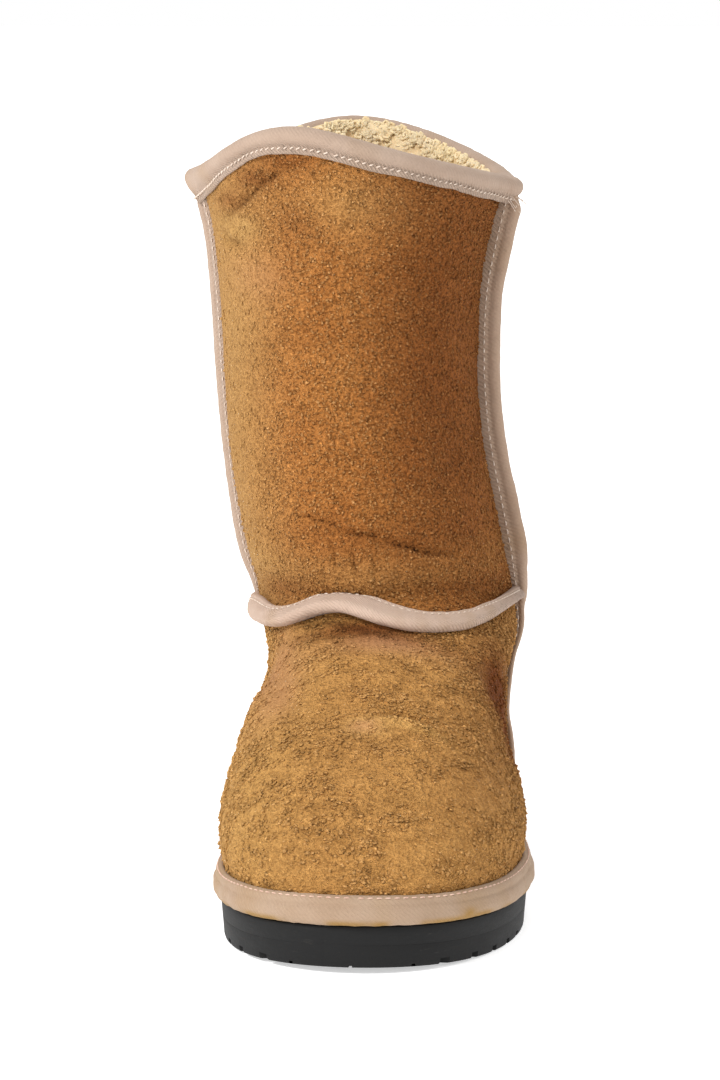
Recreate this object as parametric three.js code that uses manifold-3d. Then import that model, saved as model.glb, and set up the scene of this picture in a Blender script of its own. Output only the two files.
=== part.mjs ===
// A pull-on sheepskin boot for the right foot: a moulded outsole, an insole, one hollow sheepskin
// upper, and the tapes that bind its top edge and its seams. Millimetres, +Z up. The toe points
// along -Y, the medial side is +X, and the origin is on the floor under the middle of the heel.
import * as THREE from "three";
import { mergeVertices } from "three/addons/utils/BufferGeometryUtils.js";
import Module from "manifold-3d";

const wasm = await Module();
wasm.setup();

// Outsole
const soleLength = 280;
const ballWidth = 109;
const heelBack = 37; // the heel's back end, behind the origin
const heelThickness = 22;
const forefootThickness = 14.5;
const toeSpring = 2.5;
const archRelief = 2.5;
const heelBevel = 1.6;
const forefootSwing = 6; // how far the forefoot lies to the medial side of the heel's middle
const soleDraft = 1.1; // how far the foot of the side wall lies inside its top edge
const soleEdgeRadius = 1.2;

// Tread
const grooveWidth = 3.2;
const grooveDepth = 2.6;
const groovePitch = 13;
const toeNotchPitch = 21;

// Upper
const instepHeight = 104; // floor to the start of the shaft, at the front
const bootHeight = 280; // floor to the top of the skin, at the middle of the front
const collarDip = 20.5; // how far the collar falls from front and back to the side seams
const shaftWidth = 104;
const shaftDepth = 134;
const shaftCentre = -33; // Y of the middle of the shaft
const shaftLean = 16; // how far the collar leans to the lateral side
const wall = 4; // skin and the pressed foot of its pile
const ledge = 4.4; // sole edge to the foot of the upper
const insoleThickness = 5;
const insoleClearance = 0.6;
const fit = 0.3; // gap between pieces that touch

// Tapes
const tapeThickness = 1.7;
const collarTapeDrop = 8.4; // down the outside
const collarTapeInside = 7.5; // down the inside
const collarRoll = 1.6; // how far the padded top of the collar tape stands past its lower part
const sideTapeWidth = 4.4;
const medialTapeRise = 7.8; // the side tapes stand out from their seams
const lateralTapeRise = 4.2;
const lateralFoldShare = 0.9; // how far the lateral tape folds back for each millimetre that it stands out
const footTapeShare = 0.4; // height of the side tapes beside the foot, against the shaft
const instepTapeWidth = 12.5;
const instepTapeRise = 4.6;
const weltTapeHeight = 10;
const weltTapeBulge = 1.8; // past the sole's edge
const tapeSink = 1; // how far a tape's own section runs under the skin before it is cut to it

// Facets
const around = 56;
const outerRingsPerSection = 2;
const sideTapeStations = 34;
const instepTapeStations = 34;
const halvings = 40;
const derivativeStep = 1e-3;

const lerp = THREE.MathUtils.lerp;
const smooth = THREE.MathUtils.smoothstep;

// Share of the sole's length, from 0 at the back of the heel to 1 at the tip of the toe, and back.
const alongOf = (y) => (heelBack - y) / soleLength;
const yOf = (along) => heelBack - along * soleLength;

// Where the sole changes, as shares of its length.
const profile = {
  bevelTo: 0.05, swingFrom: 0.15, archFrom: 0.26, heelBreast: 0.3, archTo: 0.52, ball: 0.62, spring: 0.77,
};

// The waist draws the outline in around one place. Its draws are shares of the half width.
const waist = { place: 0.41, length: 0.17, medial: 0.2, lateral: 0.07 };

// The sole's outline. front, back, widest and skew are shares of soleLength, and medial, lateral and
// toeShift are shares of ballWidth. toeSquare and heelSquare make an end fuller than an ellipse.
const outline = {
  front: 1, back: 0, widest: 0.69, medial: 0.5, lateral: 0.5, toeShift: 0.02,
  toeSquare: 0.08, heelSquare: 0.4, waist: 1, skew: -0.012,
};

// Sections of the foot. height goes from 0 at the welt tape's top to 1 at the shaft. front, back,
// widest and skew are shares of soleLength, and medial, lateral and shift are shares of ballWidth.
// swing is a share of forefootSwing, and follow is how far a section keeps the sole's rise and fall.
const footSections = [
  { height: 0, front: 0.991, back: 0.009, widest: 0.69, medial: 0.482, lateral: 0.488, shift: 0,
    toeSquare: 0.12, heelSquare: 0.4, waist: 0.95, skew: -0.012, swing: 1, follow: 1 },
  { height: 0.12, front: 0.986, back: 0.004, widest: 0.68, medial: 0.494, lateral: 0.504, shift: -0.005,
    toeSquare: 0.15, heelSquare: 0.38, waist: 0.8, skew: -0.01, swing: 1, follow: 0.85 },
  { height: 0.28, front: 0.957, back: 0.008, widest: 0.655, medial: 0.478, lateral: 0.488, shift: -0.015,
    toeSquare: 0.15, heelSquare: 0.36, waist: 0.6, skew: -0.008, swing: 1, follow: 0.6 },
  { height: 0.43, front: 0.905, back: 0.016, widest: 0.61, medial: 0.45, lateral: 0.46, shift: -0.02,
    toeSquare: 0.1, heelSquare: 0.32, waist: 0.4, skew: -0.006, swing: 0.9, follow: 0.35 },
  { height: 0.58, front: 0.83, back: 0.022, widest: 0.55, medial: 0.435, lateral: 0.43, shift: -0.015,
    toeSquare: 0.05, heelSquare: 0.28, waist: 0.2, skew: -0.004, swing: 0.7, follow: 0.15 },
  { height: 0.71, front: 0.748, back: 0.026, widest: 0.47, medial: 0.423, lateral: 0.4, shift: 0,
    toeSquare: 0.03, heelSquare: 0.24, waist: 0.1, skew: 0, swing: 0.5, follow: 0.05 },
  { height: 0.84, front: 0.658, back: 0.027, widest: 0.385, medial: 0.432, lateral: 0.405, shift: 0.005,
    toeSquare: 0.03, heelSquare: 0.18, waist: 0, skew: 0, swing: 0.25, follow: 0 },
  { height: 0.95, front: 0.58, back: 0.026, widest: 0.315, medial: 0.445, lateral: 0.43, shift: -0.02,
    toeSquare: 0.05, heelSquare: 0.12, waist: 0, skew: 0, swing: 0.1, follow: 0 },
];

// Sections of the shaft. height goes from 0 at its foot to 1 at the collar. front and back are shares
// of shaftDepth from the shaft's middle, medial and lateral shares of shaftWidth, and lean a share of
// shaftLean. scallop is how far a section takes up the collar's dip.
const shaftSections = [
  { height: 0.03, front: 0.545, back: 0.48, medial: 0.475, lateral: 0.468, lean: 0.22, square: 0.05, scallop: 0 },
  { height: 0.1, front: 0.575, back: 0.48, medial: 0.475, lateral: 0.48, lean: 0.38, square: 0.06, scallop: 0 },
  { height: 0.2, front: 0.565, back: 0.48, medial: 0.472, lateral: 0.48, lean: 0.58, square: 0.04, scallop: 0.02 },
  { height: 0.34, front: 0.535, back: 0.485, medial: 0.463, lateral: 0.475, lean: 0.8, square: 0.02, scallop: 0.1 },
  { height: 0.52, front: 0.515, back: 0.49, medial: 0.462, lateral: 0.475, lean: 0.96, square: 0, scallop: 0.28 },
  { height: 0.72, front: 0.505, back: 0.495, medial: 0.48, lateral: 0.485, lean: 1.02, square: -0.03, scallop: 0.6 },
  { height: 0.89, front: 0.51, back: 0.505, medial: 0.52, lateral: 0.515, lean: 1, square: -0.08, scallop: 0.9 },
  { height: 1, front: 0.52, back: 0.515, medial: 0.565, lateral: 0.56, lean: 1, square: -0.12, scallop: 1 },
];

// Radians from the middle of the front and of the back to the collar's peaks, to the lateral side.
const peakTurn = { front: 0.33, back: 0.15 };

// Places of the side seams, as shares of soleLength.
const seamPlace = { collar: 0.27, instep: 0.29, sole: 0.39 };
const seamStep = footSections.length + 0.3; // the instep seam, in sections from the foot of the upper
const tapeTaper = { below: 1.5, above: 2 }; // sections around the instep in which the side tapes grow

// The instep tape has been worn into a wave: part is a place along it, from lateral to medial, lift
// how far it rises there, as a share of its width, and spread the wave's width.
const instepWave = [
  { part: 0.19, lift: -0.36, spread: 0.06 },
  { part: 0.38, lift: 0.29, spread: 0.1 },
];

// Tape sections. across runs from -0.5 to 0.5 of the width and rise from 0 to 1 of the height: the
// side tapes stand out from their seams, and the instep tape lies over its seam.
const standingProfile = [
  { across: -0.42, rise: 0 },
  { across: -0.5, rise: 0.72 },
  { across: -0.22, rise: 1 },
  { across: 0.22, rise: 1 },
  { across: 0.5, rise: 0.72 },
  { across: 0.42, rise: 0 },
];
const lyingProfile = [
  { across: -0.5, rise: 0.5 },
  { across: -0.42, rise: 0.95 },
  { across: -0.1, rise: 1 },
  { across: 0.25, rise: 0.8 },
  { across: 0.5, rise: 0.35 },
];

// The collar tape's section, from its outer lower edge over the rim and back: down is a share of the
// drop outside or of the depth inside, over a share of the tape's thickness above the rim, and out
// a share of the tape's thickness, with the roll added by roll.
const collarOutside = [
  { down: 1, out: 0, roll: 0 },
  { down: 1, out: 1, roll: 0 },
  { down: 0.6, out: 1, roll: 0.1 },
  { down: 0.32, out: 1, roll: 0.85 },
  { down: 0, out: 1, roll: 0.7 },
];

// The welt tape's section: up is a share of its height, edge a share of the ledge, and bulge and
// thick shares of the bulge and of the tape's thickness.
const weltSection = [
  { up: 0, edge: 0, bulge: 0, thick: 0 },
  { up: 0, edge: 0.9, bulge: 0, thick: 0 },
  { up: 0.3, edge: 1, bulge: 1, thick: 0 },
  { up: 0.62, edge: 0.72, bulge: 1, thick: 0 },
  { up: 0.92, edge: 0.4, bulge: 0, thick: 0 },
  { up: 1, edge: 0, bulge: 0, thick: 0.6 },
  { up: 1, edge: 0, bulge: 0, thick: 0 },
  { up: 0.5, edge: 0, bulge: 0, thick: 0 },
];

function springRise(along) {
  const past = Math.max(0, along - profile.spring) / (1 - profile.spring);
  return toeSpring * past ** 2;
}

function soleBottom(y) {
  const along = alongOf(y);
  const span = THREE.MathUtils.clamp((along - profile.archFrom) / (profile.archTo - profile.archFrom), 0, 1);
  const arch = archRelief * Math.sin(Math.PI * span) ** 2;
  const bevel = heelBevel * (1 - smooth(along, 0, profile.bevelTo));
  return springRise(along) + arch + bevel;
}

function soleTop(y) {
  const along = alongOf(y);
  const fall = smooth(along, profile.heelBreast, profile.ball);
  return lerp(heelThickness, forefootThickness, fall) + springRise(along);
}

// The sole's outline in millimetres, drawn in by inset all round.
function outlineRow(inset) {
  return {
    z: forefootThickness + fit,
    front: yOf(outline.front) + inset,
    back: yOf(outline.back) - inset,
    widest: yOf(outline.widest),
    medial: outline.medial * ballWidth - inset,
    lateral: outline.lateral * ballWidth - inset,
    shift: 0,
    toeShift: outline.toeShift * ballWidth,
    toeSquare: outline.toeSquare,
    heelSquare: outline.heelSquare,
    waist: outline.waist,
    skew: outline.skew * soleLength,
    swing: forefootSwing,
    follow: 1,
    scallop: 0,
  };
}

function footRow(row) {
  return {
    z: lerp(forefootThickness + fit + weltTapeHeight, instepHeight, row.height),
    front: yOf(row.front),
    back: yOf(row.back),
    widest: yOf(row.widest),
    medial: row.medial * ballWidth,
    lateral: row.lateral * ballWidth,
    shift: row.shift * ballWidth,
    toeShift: outline.toeShift * ballWidth * row.follow,
    toeSquare: row.toeSquare,
    heelSquare: row.heelSquare,
    waist: row.waist,
    skew: row.skew * soleLength,
    swing: row.swing * forefootSwing,
    follow: row.follow,
    scallop: 0,
  };
}

function shaftRow(row) {
  return {
    z: lerp(instepHeight, bootHeight, row.height),
    front: shaftCentre - row.front * shaftDepth,
    back: shaftCentre + row.back * shaftDepth,
    widest: shaftCentre,
    medial: row.medial * shaftWidth,
    lateral: row.lateral * shaftWidth,
    shift: -row.lean * shaftLean,
    toeShift: 0,
    toeSquare: row.square,
    heelSquare: row.square,
    waist: 0,
    skew: 0,
    swing: 0,
    follow: 0,
    scallop: row.scallop,
  };
}

const rows = [outlineRow(ledge), ...footSections.map(footRow), ...shaftSections.map(shaftRow)];
const collarStep = rows.length - 1;

// A point of a closed section seen from above. Angle 0 is the toe and a quarter turn the medial side.
// Each quadrant is an ellipse filled out by square, and the waist draws both sides in.
function planPoint(row, angle) {
  const ahead = Math.cos(angle);
  const aside = Math.sin(angle);
  const square = ahead > 0 ? row.toeSquare : row.heelSquare;
  const reach = ahead > 0 ? row.widest - row.front : row.back - row.widest;
  const half = aside > 0 ? row.medial : row.lateral;
  const y = row.widest - reach * ahead * Math.sqrt(1 + square * aside ** 2) - row.skew * aside;
  const along = alongOf(y);
  const pinch = Math.exp(-(((along - waist.place) / waist.length) ** 2));
  const draw = 1 - row.waist * pinch * (aside > 0 ? waist.medial : waist.lateral);
  const swing = row.swing * smooth(along, profile.swingFrom, profile.ball);
  const x = row.shift + swing + row.toeShift * Math.max(0, ahead) ** 2
    + half * aside * draw * Math.sqrt(1 + square * ahead ** 2);
  return new THREE.Vector2(x, y);
}

// The row at a step: each of its values runs through the sections as a Catmull-Rom spline.
function rowAt(step) {
  const base = THREE.MathUtils.clamp(Math.floor(step), 0, collarStep - 1);
  const part = step - base;
  const [a, b, c, d] = [-1, 0, 1, 2].map((k) => rows[THREE.MathUtils.clamp(base + k, 0, collarStep)]);
  const between = {};
  for (const key of Object.keys(b)) {
    const bend = 2 * a[key] - 5 * b[key] + 4 * c[key] - d[key];
    const twist = 3 * (b[key] - c[key]) + d[key] - a[key];
    between[key] = b[key] + 0.5 * part * (c[key] - a[key] + part * (bend + part * twist));
  }
  return between;
}

// The outside of the upper. Its foot follows the sole, and its collar falls to both side seams.
function skinPoint(angle, step) {
  const row = rowAt(step);
  const plan = planPoint(row, angle);
  const rise = row.follow * (soleTop(plan.y) - forefootThickness);
  const ahead = Math.cos(angle);
  const turn = ahead > 0 ? peakTurn.front : -peakTurn.back;
  const dip = row.scallop * collarDip * Math.sin(angle + turn * ahead ** 2) ** 2;
  return new THREE.Vector3(plan.x, plan.y, row.z + rise - dip);
}

// Point, outward normal, direction up the wall, and lengths per radian and per step.
function skinFrame(angle, step) {
  const point = skinPoint(angle, step);
  const turn = skinPoint(angle + derivativeStep, step).sub(skinPoint(angle - derivativeStep, step));
  const low = Math.max(step - derivativeStep, 0);
  const high = Math.min(step + derivativeStep, collarStep);
  const climb = skinPoint(angle, high).sub(skinPoint(angle, low));
  const perRadian = turn.length() / (2 * derivativeStep);
  const perStep = climb.length() / (high - low);
  const normal = turn.cross(climb).normalize();
  return { point, normal, up: climb.normalize(), perRadian, perStep };
}

function offsetPoint(angle, step, out) {
  const frame = skinFrame(angle, step);
  return frame.point.addScaledVector(frame.normal, out);
}

const angles = Array.from({ length: around }, (_, i) => (2 * Math.PI * i) / around);

function indexedGeometry(points, triangles) {
  const geometry = new THREE.BufferGeometry();
  geometry.setAttribute("position", new THREE.Float32BufferAttribute(points.flatMap((p) => p.toArray()), 3));
  geometry.setIndex(triangles);
  return geometry;
}

// Triangles between each ring of points and the next. Rings are closed, and so is the run of rings
// where it is a loop.
function bandTriangles(count, ringCount, loop) {
  const triangles = [];
  const bands = loop ? ringCount : ringCount - 1;
  for (let k = 0; k < bands; k += 1) {
    const here = k * count;
    const next = ((k + 1) % ringCount) * count;
    for (let i = 0; i < count; i += 1) {
      const j = (i + 1) % count;
      triangles.push(here + i, here + j, next + j, here + i, next + j, next + i);
    }
  }
  return triangles;
}

// Rings in a loop: up the outside of a wall, over its edge and down the inside.
function loopLoft(rings) {
  return indexedGeometry(rings.flat(), bandTriangles(rings[0].length, rings.length, true));
}

// Rings from bottom to top, closed below and above by strips that run from side to side.
function stackedLoft(rings) {
  const count = rings[0].length;
  const triangles = bandTriangles(count, rings.length, false);
  const top = (rings.length - 1) * count;
  for (let i = 0; i < count / 2; i += 1) {
    const [a, b, c, d] = [i, i + 1, (count - i - 1) % count, (count - i) % count];
    if (i > 0) triangles.push(a, d, c, top + a, top + c, top + d);
    if (i + 1 < count / 2) triangles.push(a, c, b, top + a, top + b, top + c);
  }
  return indexedGeometry(rings.flat(), triangles);
}

// Sections along a tape, with flat ends.
function tapeLoft(sections) {
  const count = sections[0].length;
  const triangles = bandTriangles(count, sections.length, false);
  const last = (sections.length - 1) * count;
  for (let i = 1; i + 1 < count; i += 1) triangles.push(0, i + 1, i, last, last + i, last + i + 1);
  return indexedGeometry(sections.flat(), triangles);
}

function toSolid(geometry) {
  const bare = geometry.clone();
  bare.deleteAttribute("normal");
  bare.deleteAttribute("uv");
  const merged = mergeVertices(bare, 1e-4);
  return new wasm.Manifold(new wasm.Mesh({
    numProp: 3,
    vertProperties: new Float32Array(merged.getAttribute("position").array),
    triVerts: new Uint32Array(merged.index.array),
  }));
}

function toGeometry(solid) {
  const mesh = solid.getMesh();
  const geometry = new THREE.BufferGeometry();
  geometry.setAttribute("position", new THREE.BufferAttribute(new Float32Array(mesh.vertProperties), 3));
  geometry.setIndex(new THREE.BufferAttribute(new Uint32Array(mesh.triVerts), 1));
  return geometry;
}

const cutAway = (solid, cutters) => cutters.reduce((left, cutter) => left.subtract(cutter), solid);

// The outsole: side wall with a little draft, rounded edges, tread bars and the notches at the toe.
function outsoleGeometry() {
  const ring = (inset, height) => angles.map((angle) => {
    const plan = planPoint(outlineRow(inset), angle);
    return new THREE.Vector3(plan.x, plan.y, height(plan.y));
  });
  const body = toSolid(stackedLoft([
    ring(soleDraft + soleEdgeRadius, soleBottom),
    ring(soleDraft, (y) => soleBottom(y) + soleEdgeRadius),
    ring(0, (y) => soleTop(y) - soleEdgeRadius),
    ring(soleEdgeRadius / 2, soleTop),
  ]));
  const groove = (width, length, x, y) => {
    const box = new THREE.BoxGeometry(width, length, 2 * grooveDepth);
    box.translate(x, y, soleBottom(y));
    return toSolid(box);
  };
  // Bars lie across the heel and the forefoot, and short notches run out at the toe.
  const treads = [{ from: 0.03, to: 0.25 }, { from: 0.54, to: 0.95 }];
  const notchesFrom = 0.95;
  const cutters = [];
  const farthest = Math.ceil(soleLength / groovePitch);
  for (let k = -farthest; k <= farthest; k += 1) {
    const y = (k + 0.5) * groovePitch;
    const along = alongOf(y);
    if (treads.some(({ from, to }) => along > from && along < to)) {
      cutters.push(groove(2 * ballWidth, grooveWidth, 0, y));
    }
  }
  const notches = Math.floor(ballWidth / 2 / toeNotchPitch);
  const notchLength = 2 * (1 - notchesFrom) * soleLength;
  for (let k = -notches; k <= notches; k += 1) {
    const y = yOf(notchesFrom) - notchLength / 2;
    const box = new THREE.BoxGeometry(grooveWidth, notchLength, 2 * grooveDepth);
    box.translate(forefootSwing + k * toeNotchPitch, y, soleBottom(yOf(1)));
    cutters.push(toSolid(box));
  }
  return toGeometry(cutAway(body, cutters));
}

// The insole fills the foot of the upper, on top of the sole, with a little clearance.
function insoleGeometry() {
  const ring = (lift) => angles.map((angle) => {
    const frame = skinFrame(angle, 0);
    const level = new THREE.Vector3(frame.normal.x, frame.normal.y, 0).normalize();
    const edge = frame.point.addScaledVector(level, -(wall + insoleClearance));
    return new THREE.Vector3(edge.x, edge.y, soleTop(edge.y) + fit + lift);
  });
  return stackedLoft([ring(0), ring(insoleThickness)]);
}

// The upper: its outer face from the sole to the collar, over the rim and down its inner face.
function upperGeometry() {
  const ring = (step, out) => angles.map((angle) => offsetPoint(angle, step, out));
  const outer = [];
  for (let k = 0; k <= collarStep * outerRingsPerSection; k += 1) outer.push(ring(k / outerRingsPerSection, 0));
  const inner = [];
  for (let step = collarStep; step >= 0; step -= 1) inner.push(ring(step, -wall));
  for (const point of inner[collarStep]) point.z = soleTop(point.y) + fit;
  return loopLoft([...outer, ...inner]);
}

// The upper's outside as a filled form, grown by the fit, which cuts the seam tapes to it.
function grownSkin() {
  const rings = [];
  for (let k = 0; k <= collarStep * outerRingsPerSection; k += 1) {
    rings.push(angles.map((angle) => offsetPoint(angle, k / outerRingsPerSection, fit)));
  }
  return toSolid(stackedLoft(rings));
}

// The step that lies a length down the skin from the collar's rim.
function stepBelowCollar(angle, down) {
  const slices = 4;
  let step = collarStep;
  for (let k = 0; k < slices; k += 1) step -= down / slices / skinFrame(angle, step).perStep;
  return step;
}

// The collar tape folds over the rim and down the inside.
function collarTapeGeometry() {
  const over = (angle, up, out) => {
    const rim = skinFrame(angle, collarStep);
    return rim.point.addScaledVector(rim.up, up).addScaledVector(rim.normal, out);
  };
  const at = (angle, down, out) => offsetPoint(angle, stepBelowCollar(angle, down), out);
  const inside = -wall - fit;
  const top = fit + tapeThickness;
  const sections = [
    ...collarOutside.map(({ down, out, roll }) => (angle) => (
      at(angle, down * collarTapeDrop, fit + out * tapeThickness + roll * collarRoll)
    )),
    (angle) => over(angle, top, -0.2 * wall),
    (angle) => over(angle, top, -0.8 * wall),
    (angle) => over(angle, 0, inside - tapeThickness),
    (angle) => at(angle, collarTapeInside, inside - tapeThickness),
    (angle) => at(angle, collarTapeInside, inside),
    (angle) => over(angle, fit, inside),
    (angle) => over(angle, fit, fit),
  ];
  return loopLoft(sections.map((section) => angles.map(section)));
}

// The welt tape covers the join of upper and sole, from the sole's edge up the foot of the upper.
function weltTapeGeometry() {
  const rings = weltSection.map(({ up, edge, bulge, thick }) => angles.map((angle) => {
    const frame = skinFrame(angle, up);
    const level = new THREE.Vector3(frame.normal.x, frame.normal.y, 0).normalize();
    const out = Math.max(fit, edge * ledge) + bulge * weltTapeBulge + thick * tapeThickness;
    const point = frame.point.addScaledVector(level, out);
    if (up === 0) point.z = soleTop(point.y) + fit;
    return point;
  }));
  return loopLoft(rings);
}

// Share of the sole's length at which the side seams run.
function seamAlong(step) {
  if (step > seamStep) return lerp(seamPlace.instep, seamPlace.collar, smooth(step, seamStep, collarStep));
  return lerp(seamPlace.sole, seamPlace.instep, smooth(step, 0, seamStep));
}

// The angle at which a section meets a side seam, found by halving. side is 1 on the medial side.
function seamAngle(step, side) {
  const target = yOf(seamAlong(step));
  let front = 0;
  let back = Math.PI;
  for (let k = 0; k < halvings; k += 1) {
    const middle = (front + back) / 2;
    if (skinPoint(side * middle, step).y < target) front = middle;
    else back = middle;
  }
  return (side * (front + back)) / 2;
}

// A side tape stands on its seam from the welt tape to the collar tape. It is wider and higher by
// grow where it cuts the instep tape.
function sideTape(side, grow) {
  const from = 1 + (2 * fit) / skinFrame(seamAngle(1, side), 1).perStep;
  const to = stepBelowCollar(seamAngle(collarStep, side), collarTapeDrop + 2 * fit);
  const full = side > 0 ? medialTapeRise : lateralTapeRise;
  const fold = side > 0 ? 0 : lateralFoldShare;
  const width = sideTapeWidth + 2 * grow;
  const sections = [];
  for (let k = 0; k <= sideTapeStations; k += 1) {
    const step = lerp(from, to, k / sideTapeStations);
    const angle = seamAngle(step, side);
    const { perRadian } = skinFrame(angle, step);
    const grown = smooth(step, seamStep - tapeTaper.below, seamStep + tapeTaper.above);
    const height = full * lerp(footTapeShare, 1, grown) + grow;
    const place = (across, out) => {
      const back = across * width + fold * Math.max(0, out);
      return offsetPoint(angle + (side * back) / perRadian, step, out);
    };
    const foot = [standingProfile.at(-1), standingProfile[0]];
    sections.push([
      ...standingProfile.map(({ across, rise }) => place(across, rise * height)),
      ...foot.map(({ across }) => place(across, -tapeSink)),
    ]);
  }
  return toSolid(tapeLoft(side < 0 ? sections.reverse() : sections));
}

// An angle part of the way from the lateral to the medial seam, across the front.
function frontAngle(part, step) {
  const [lateral, medial] = [-1, 1].map((side) => {
    const angle = seamAngle(step, side);
    return angle - (side * sideTapeWidth) / 4 / skinFrame(angle, step).perRadian;
  });
  return lerp(lateral, medial, part);
}

// The instep tape crosses the front from one side tape to the other.
function instepTape() {
  const sections = [];
  for (let k = 0; k <= instepTapeStations; k += 1) {
    const part = k / instepTapeStations;
    const { perStep } = skinFrame(frontAngle(part, seamStep), seamStep);
    const lift = instepWave.reduce((sum, wave) => (
      sum + wave.lift * Math.exp(-(((part - wave.part) / wave.spread) ** 2))
    ), 0);
    const place = (across, out) => {
      const step = seamStep + ((lift + across) * instepTapeWidth) / perStep;
      return offsetPoint(frontAngle(part, step), step, out);
    };
    const height = instepTapeRise * lerp(0.55, 1, Math.sin(Math.PI * part) ** 0.35);
    sections.push([
      ...lyingProfile.map(({ across, rise }) => place(across, fit + rise * height)),
      ...[0.5, 0, -0.5].map((across) => place(across, -tapeSink)),
    ]);
  }
  return toSolid(tapeLoft(sections.reverse()));
}

const skinForm = grownSkin();

function sideTapeGeometry(side) {
  return toGeometry(cutAway(sideTape(side, 0), [skinForm]));
}

function instepTapeGeometry() {
  return toGeometry(cutAway(instepTape(), [skinForm, sideTape(1, fit), sideTape(-1, fit)]));
}

const suede = new THREE.MeshStandardMaterial({ color: 0xb98342, roughness: 0.95, metalness: 0 });
const tape = new THREE.MeshStandardMaterial({ color: 0xbfa48c, roughness: 0.85, metalness: 0 });
const rubber = new THREE.MeshStandardMaterial({ color: 0x2b2b29, roughness: 0.7, metalness: 0 });
const fleece = new THREE.MeshStandardMaterial({ color: 0xd8c29a, roughness: 1, metalness: 0 });

function named(name, geometry, material) {
  const mesh = new THREE.Mesh(geometry, material);
  mesh.name = name;
  return mesh;
}

const bottom = new THREE.Group();
bottom.add(named("outsole", outsoleGeometry(), rubber));
bottom.add(named("insole", insoleGeometry(), fleece));

const tapes = new THREE.Group();
tapes.add(named("welt_tape", weltTapeGeometry(), tape));
tapes.add(named("instep_tape", instepTapeGeometry(), tape));
tapes.add(named("side_tape_medial", sideTapeGeometry(1), tape));
tapes.add(named("side_tape_lateral", sideTapeGeometry(-1), tape));
tapes.add(named("collar_tape", collarTapeGeometry(), tape));

const boot = new THREE.Group();
boot.add(bottom, named("upper", upperGeometry(), suede), tapes);

export default boot;
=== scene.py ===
import math

import bpy
import numpy as np
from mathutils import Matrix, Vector


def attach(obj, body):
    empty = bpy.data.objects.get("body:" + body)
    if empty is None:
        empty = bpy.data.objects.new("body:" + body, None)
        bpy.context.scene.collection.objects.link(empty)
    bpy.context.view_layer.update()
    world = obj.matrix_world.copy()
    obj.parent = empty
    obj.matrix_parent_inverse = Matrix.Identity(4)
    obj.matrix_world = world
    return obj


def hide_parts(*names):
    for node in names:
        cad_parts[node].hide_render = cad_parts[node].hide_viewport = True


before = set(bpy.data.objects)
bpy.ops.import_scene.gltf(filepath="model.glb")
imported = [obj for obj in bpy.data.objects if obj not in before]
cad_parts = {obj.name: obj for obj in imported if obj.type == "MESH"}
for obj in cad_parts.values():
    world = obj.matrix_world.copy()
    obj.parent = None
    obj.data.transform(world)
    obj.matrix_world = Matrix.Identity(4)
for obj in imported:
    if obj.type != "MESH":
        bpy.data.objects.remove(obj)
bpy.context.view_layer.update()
random = np.random.default_rng(11)

# Sizes of the boot in millimetres, the same as its solids have
soleLength = 280
ballWidth = 109
heelBack = 37
heelThickness = 22
forefootThickness = 14.5
toeSpring = 2.5
archRelief = 2.5
heelBevel = 1.6
forefootSwing = 6
grooveWidth = 3.2
grooveDepth = 2.6
groovePitch = 13
toeNotchPitch = 21
instepHeight = 104
bootHeight = 280
collarDip = 20.5
shaftWidth = 104
shaftDepth = 134
shaftCentre = -33
shaftLean = 16
wall = 4
ledge = 4.4
insoleThickness = 5
fit = 0.3
sideTapeWidth = 4.4
medialTapeRise = 7.8
lateralTapeRise = 4.2
lateralTapeFold = 0.9
footTapeShare = 0.4
instepTapeWidth = 12.5
weltTapeHeight = 10

profile = {
    "bevelTo": 0.05, "swingFrom": 0.15, "archFrom": 0.26, "heelBreast": 0.3, "archTo": 0.52,
    "ball": 0.62, "spring": 0.77,
}
waist = {"place": 0.41, "length": 0.17, "medial": 0.2, "lateral": 0.07}
toeShiftShare = 0.02
peakTurn = {"front": 0.33, "back": 0.15}
seamPlace = {"collar": 0.27, "instep": 0.29, "sole": 0.39}
tapeTaper = {"below": 1.5, "above": 2}

# The sole's outline: front, back, widest and skew are shares of its length, the sides of its width.
outline = {
    "front": 1, "back": 0, "widest": 0.69, "medial": 0.5, "lateral": 0.5, "toeSquare": 0.08,
    "heelSquare": 0.4, "waist": 1, "skew": -0.012,
}

# Sections of the foot and of the shaft, in the order of the columns named above each table
footColumns = ("height", "front", "back", "widest", "medial", "lateral", "shift", "toeSquare",
               "heelSquare", "waist", "skew", "swing", "follow")
footTable = [
    (0, 0.991, 0.009, 0.69, 0.482, 0.488, 0, 0.12, 0.4, 0.95, -0.012, 1, 1),
    (0.12, 0.986, 0.004, 0.68, 0.494, 0.504, -0.005, 0.15, 0.38, 0.8, -0.01, 1, 0.85),
    (0.28, 0.957, 0.008, 0.655, 0.478, 0.488, -0.015, 0.15, 0.36, 0.6, -0.008, 1, 0.6),
    (0.43, 0.905, 0.016, 0.61, 0.45, 0.46, -0.02, 0.1, 0.32, 0.4, -0.006, 0.9, 0.35),
    (0.58, 0.83, 0.022, 0.55, 0.435, 0.43, -0.015, 0.05, 0.28, 0.2, -0.004, 0.7, 0.15),
    (0.71, 0.748, 0.026, 0.47, 0.423, 0.4, 0, 0.03, 0.24, 0.1, 0, 0.5, 0.05),
    (0.84, 0.658, 0.027, 0.385, 0.432, 0.405, 0.005, 0.03, 0.18, 0, 0, 0.25, 0),
    (0.95, 0.58, 0.026, 0.315, 0.445, 0.43, -0.02, 0.05, 0.12, 0, 0, 0.1, 0),
]
shaftColumns = ("height", "front", "back", "medial", "lateral", "lean", "square", "scallop")
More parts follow.
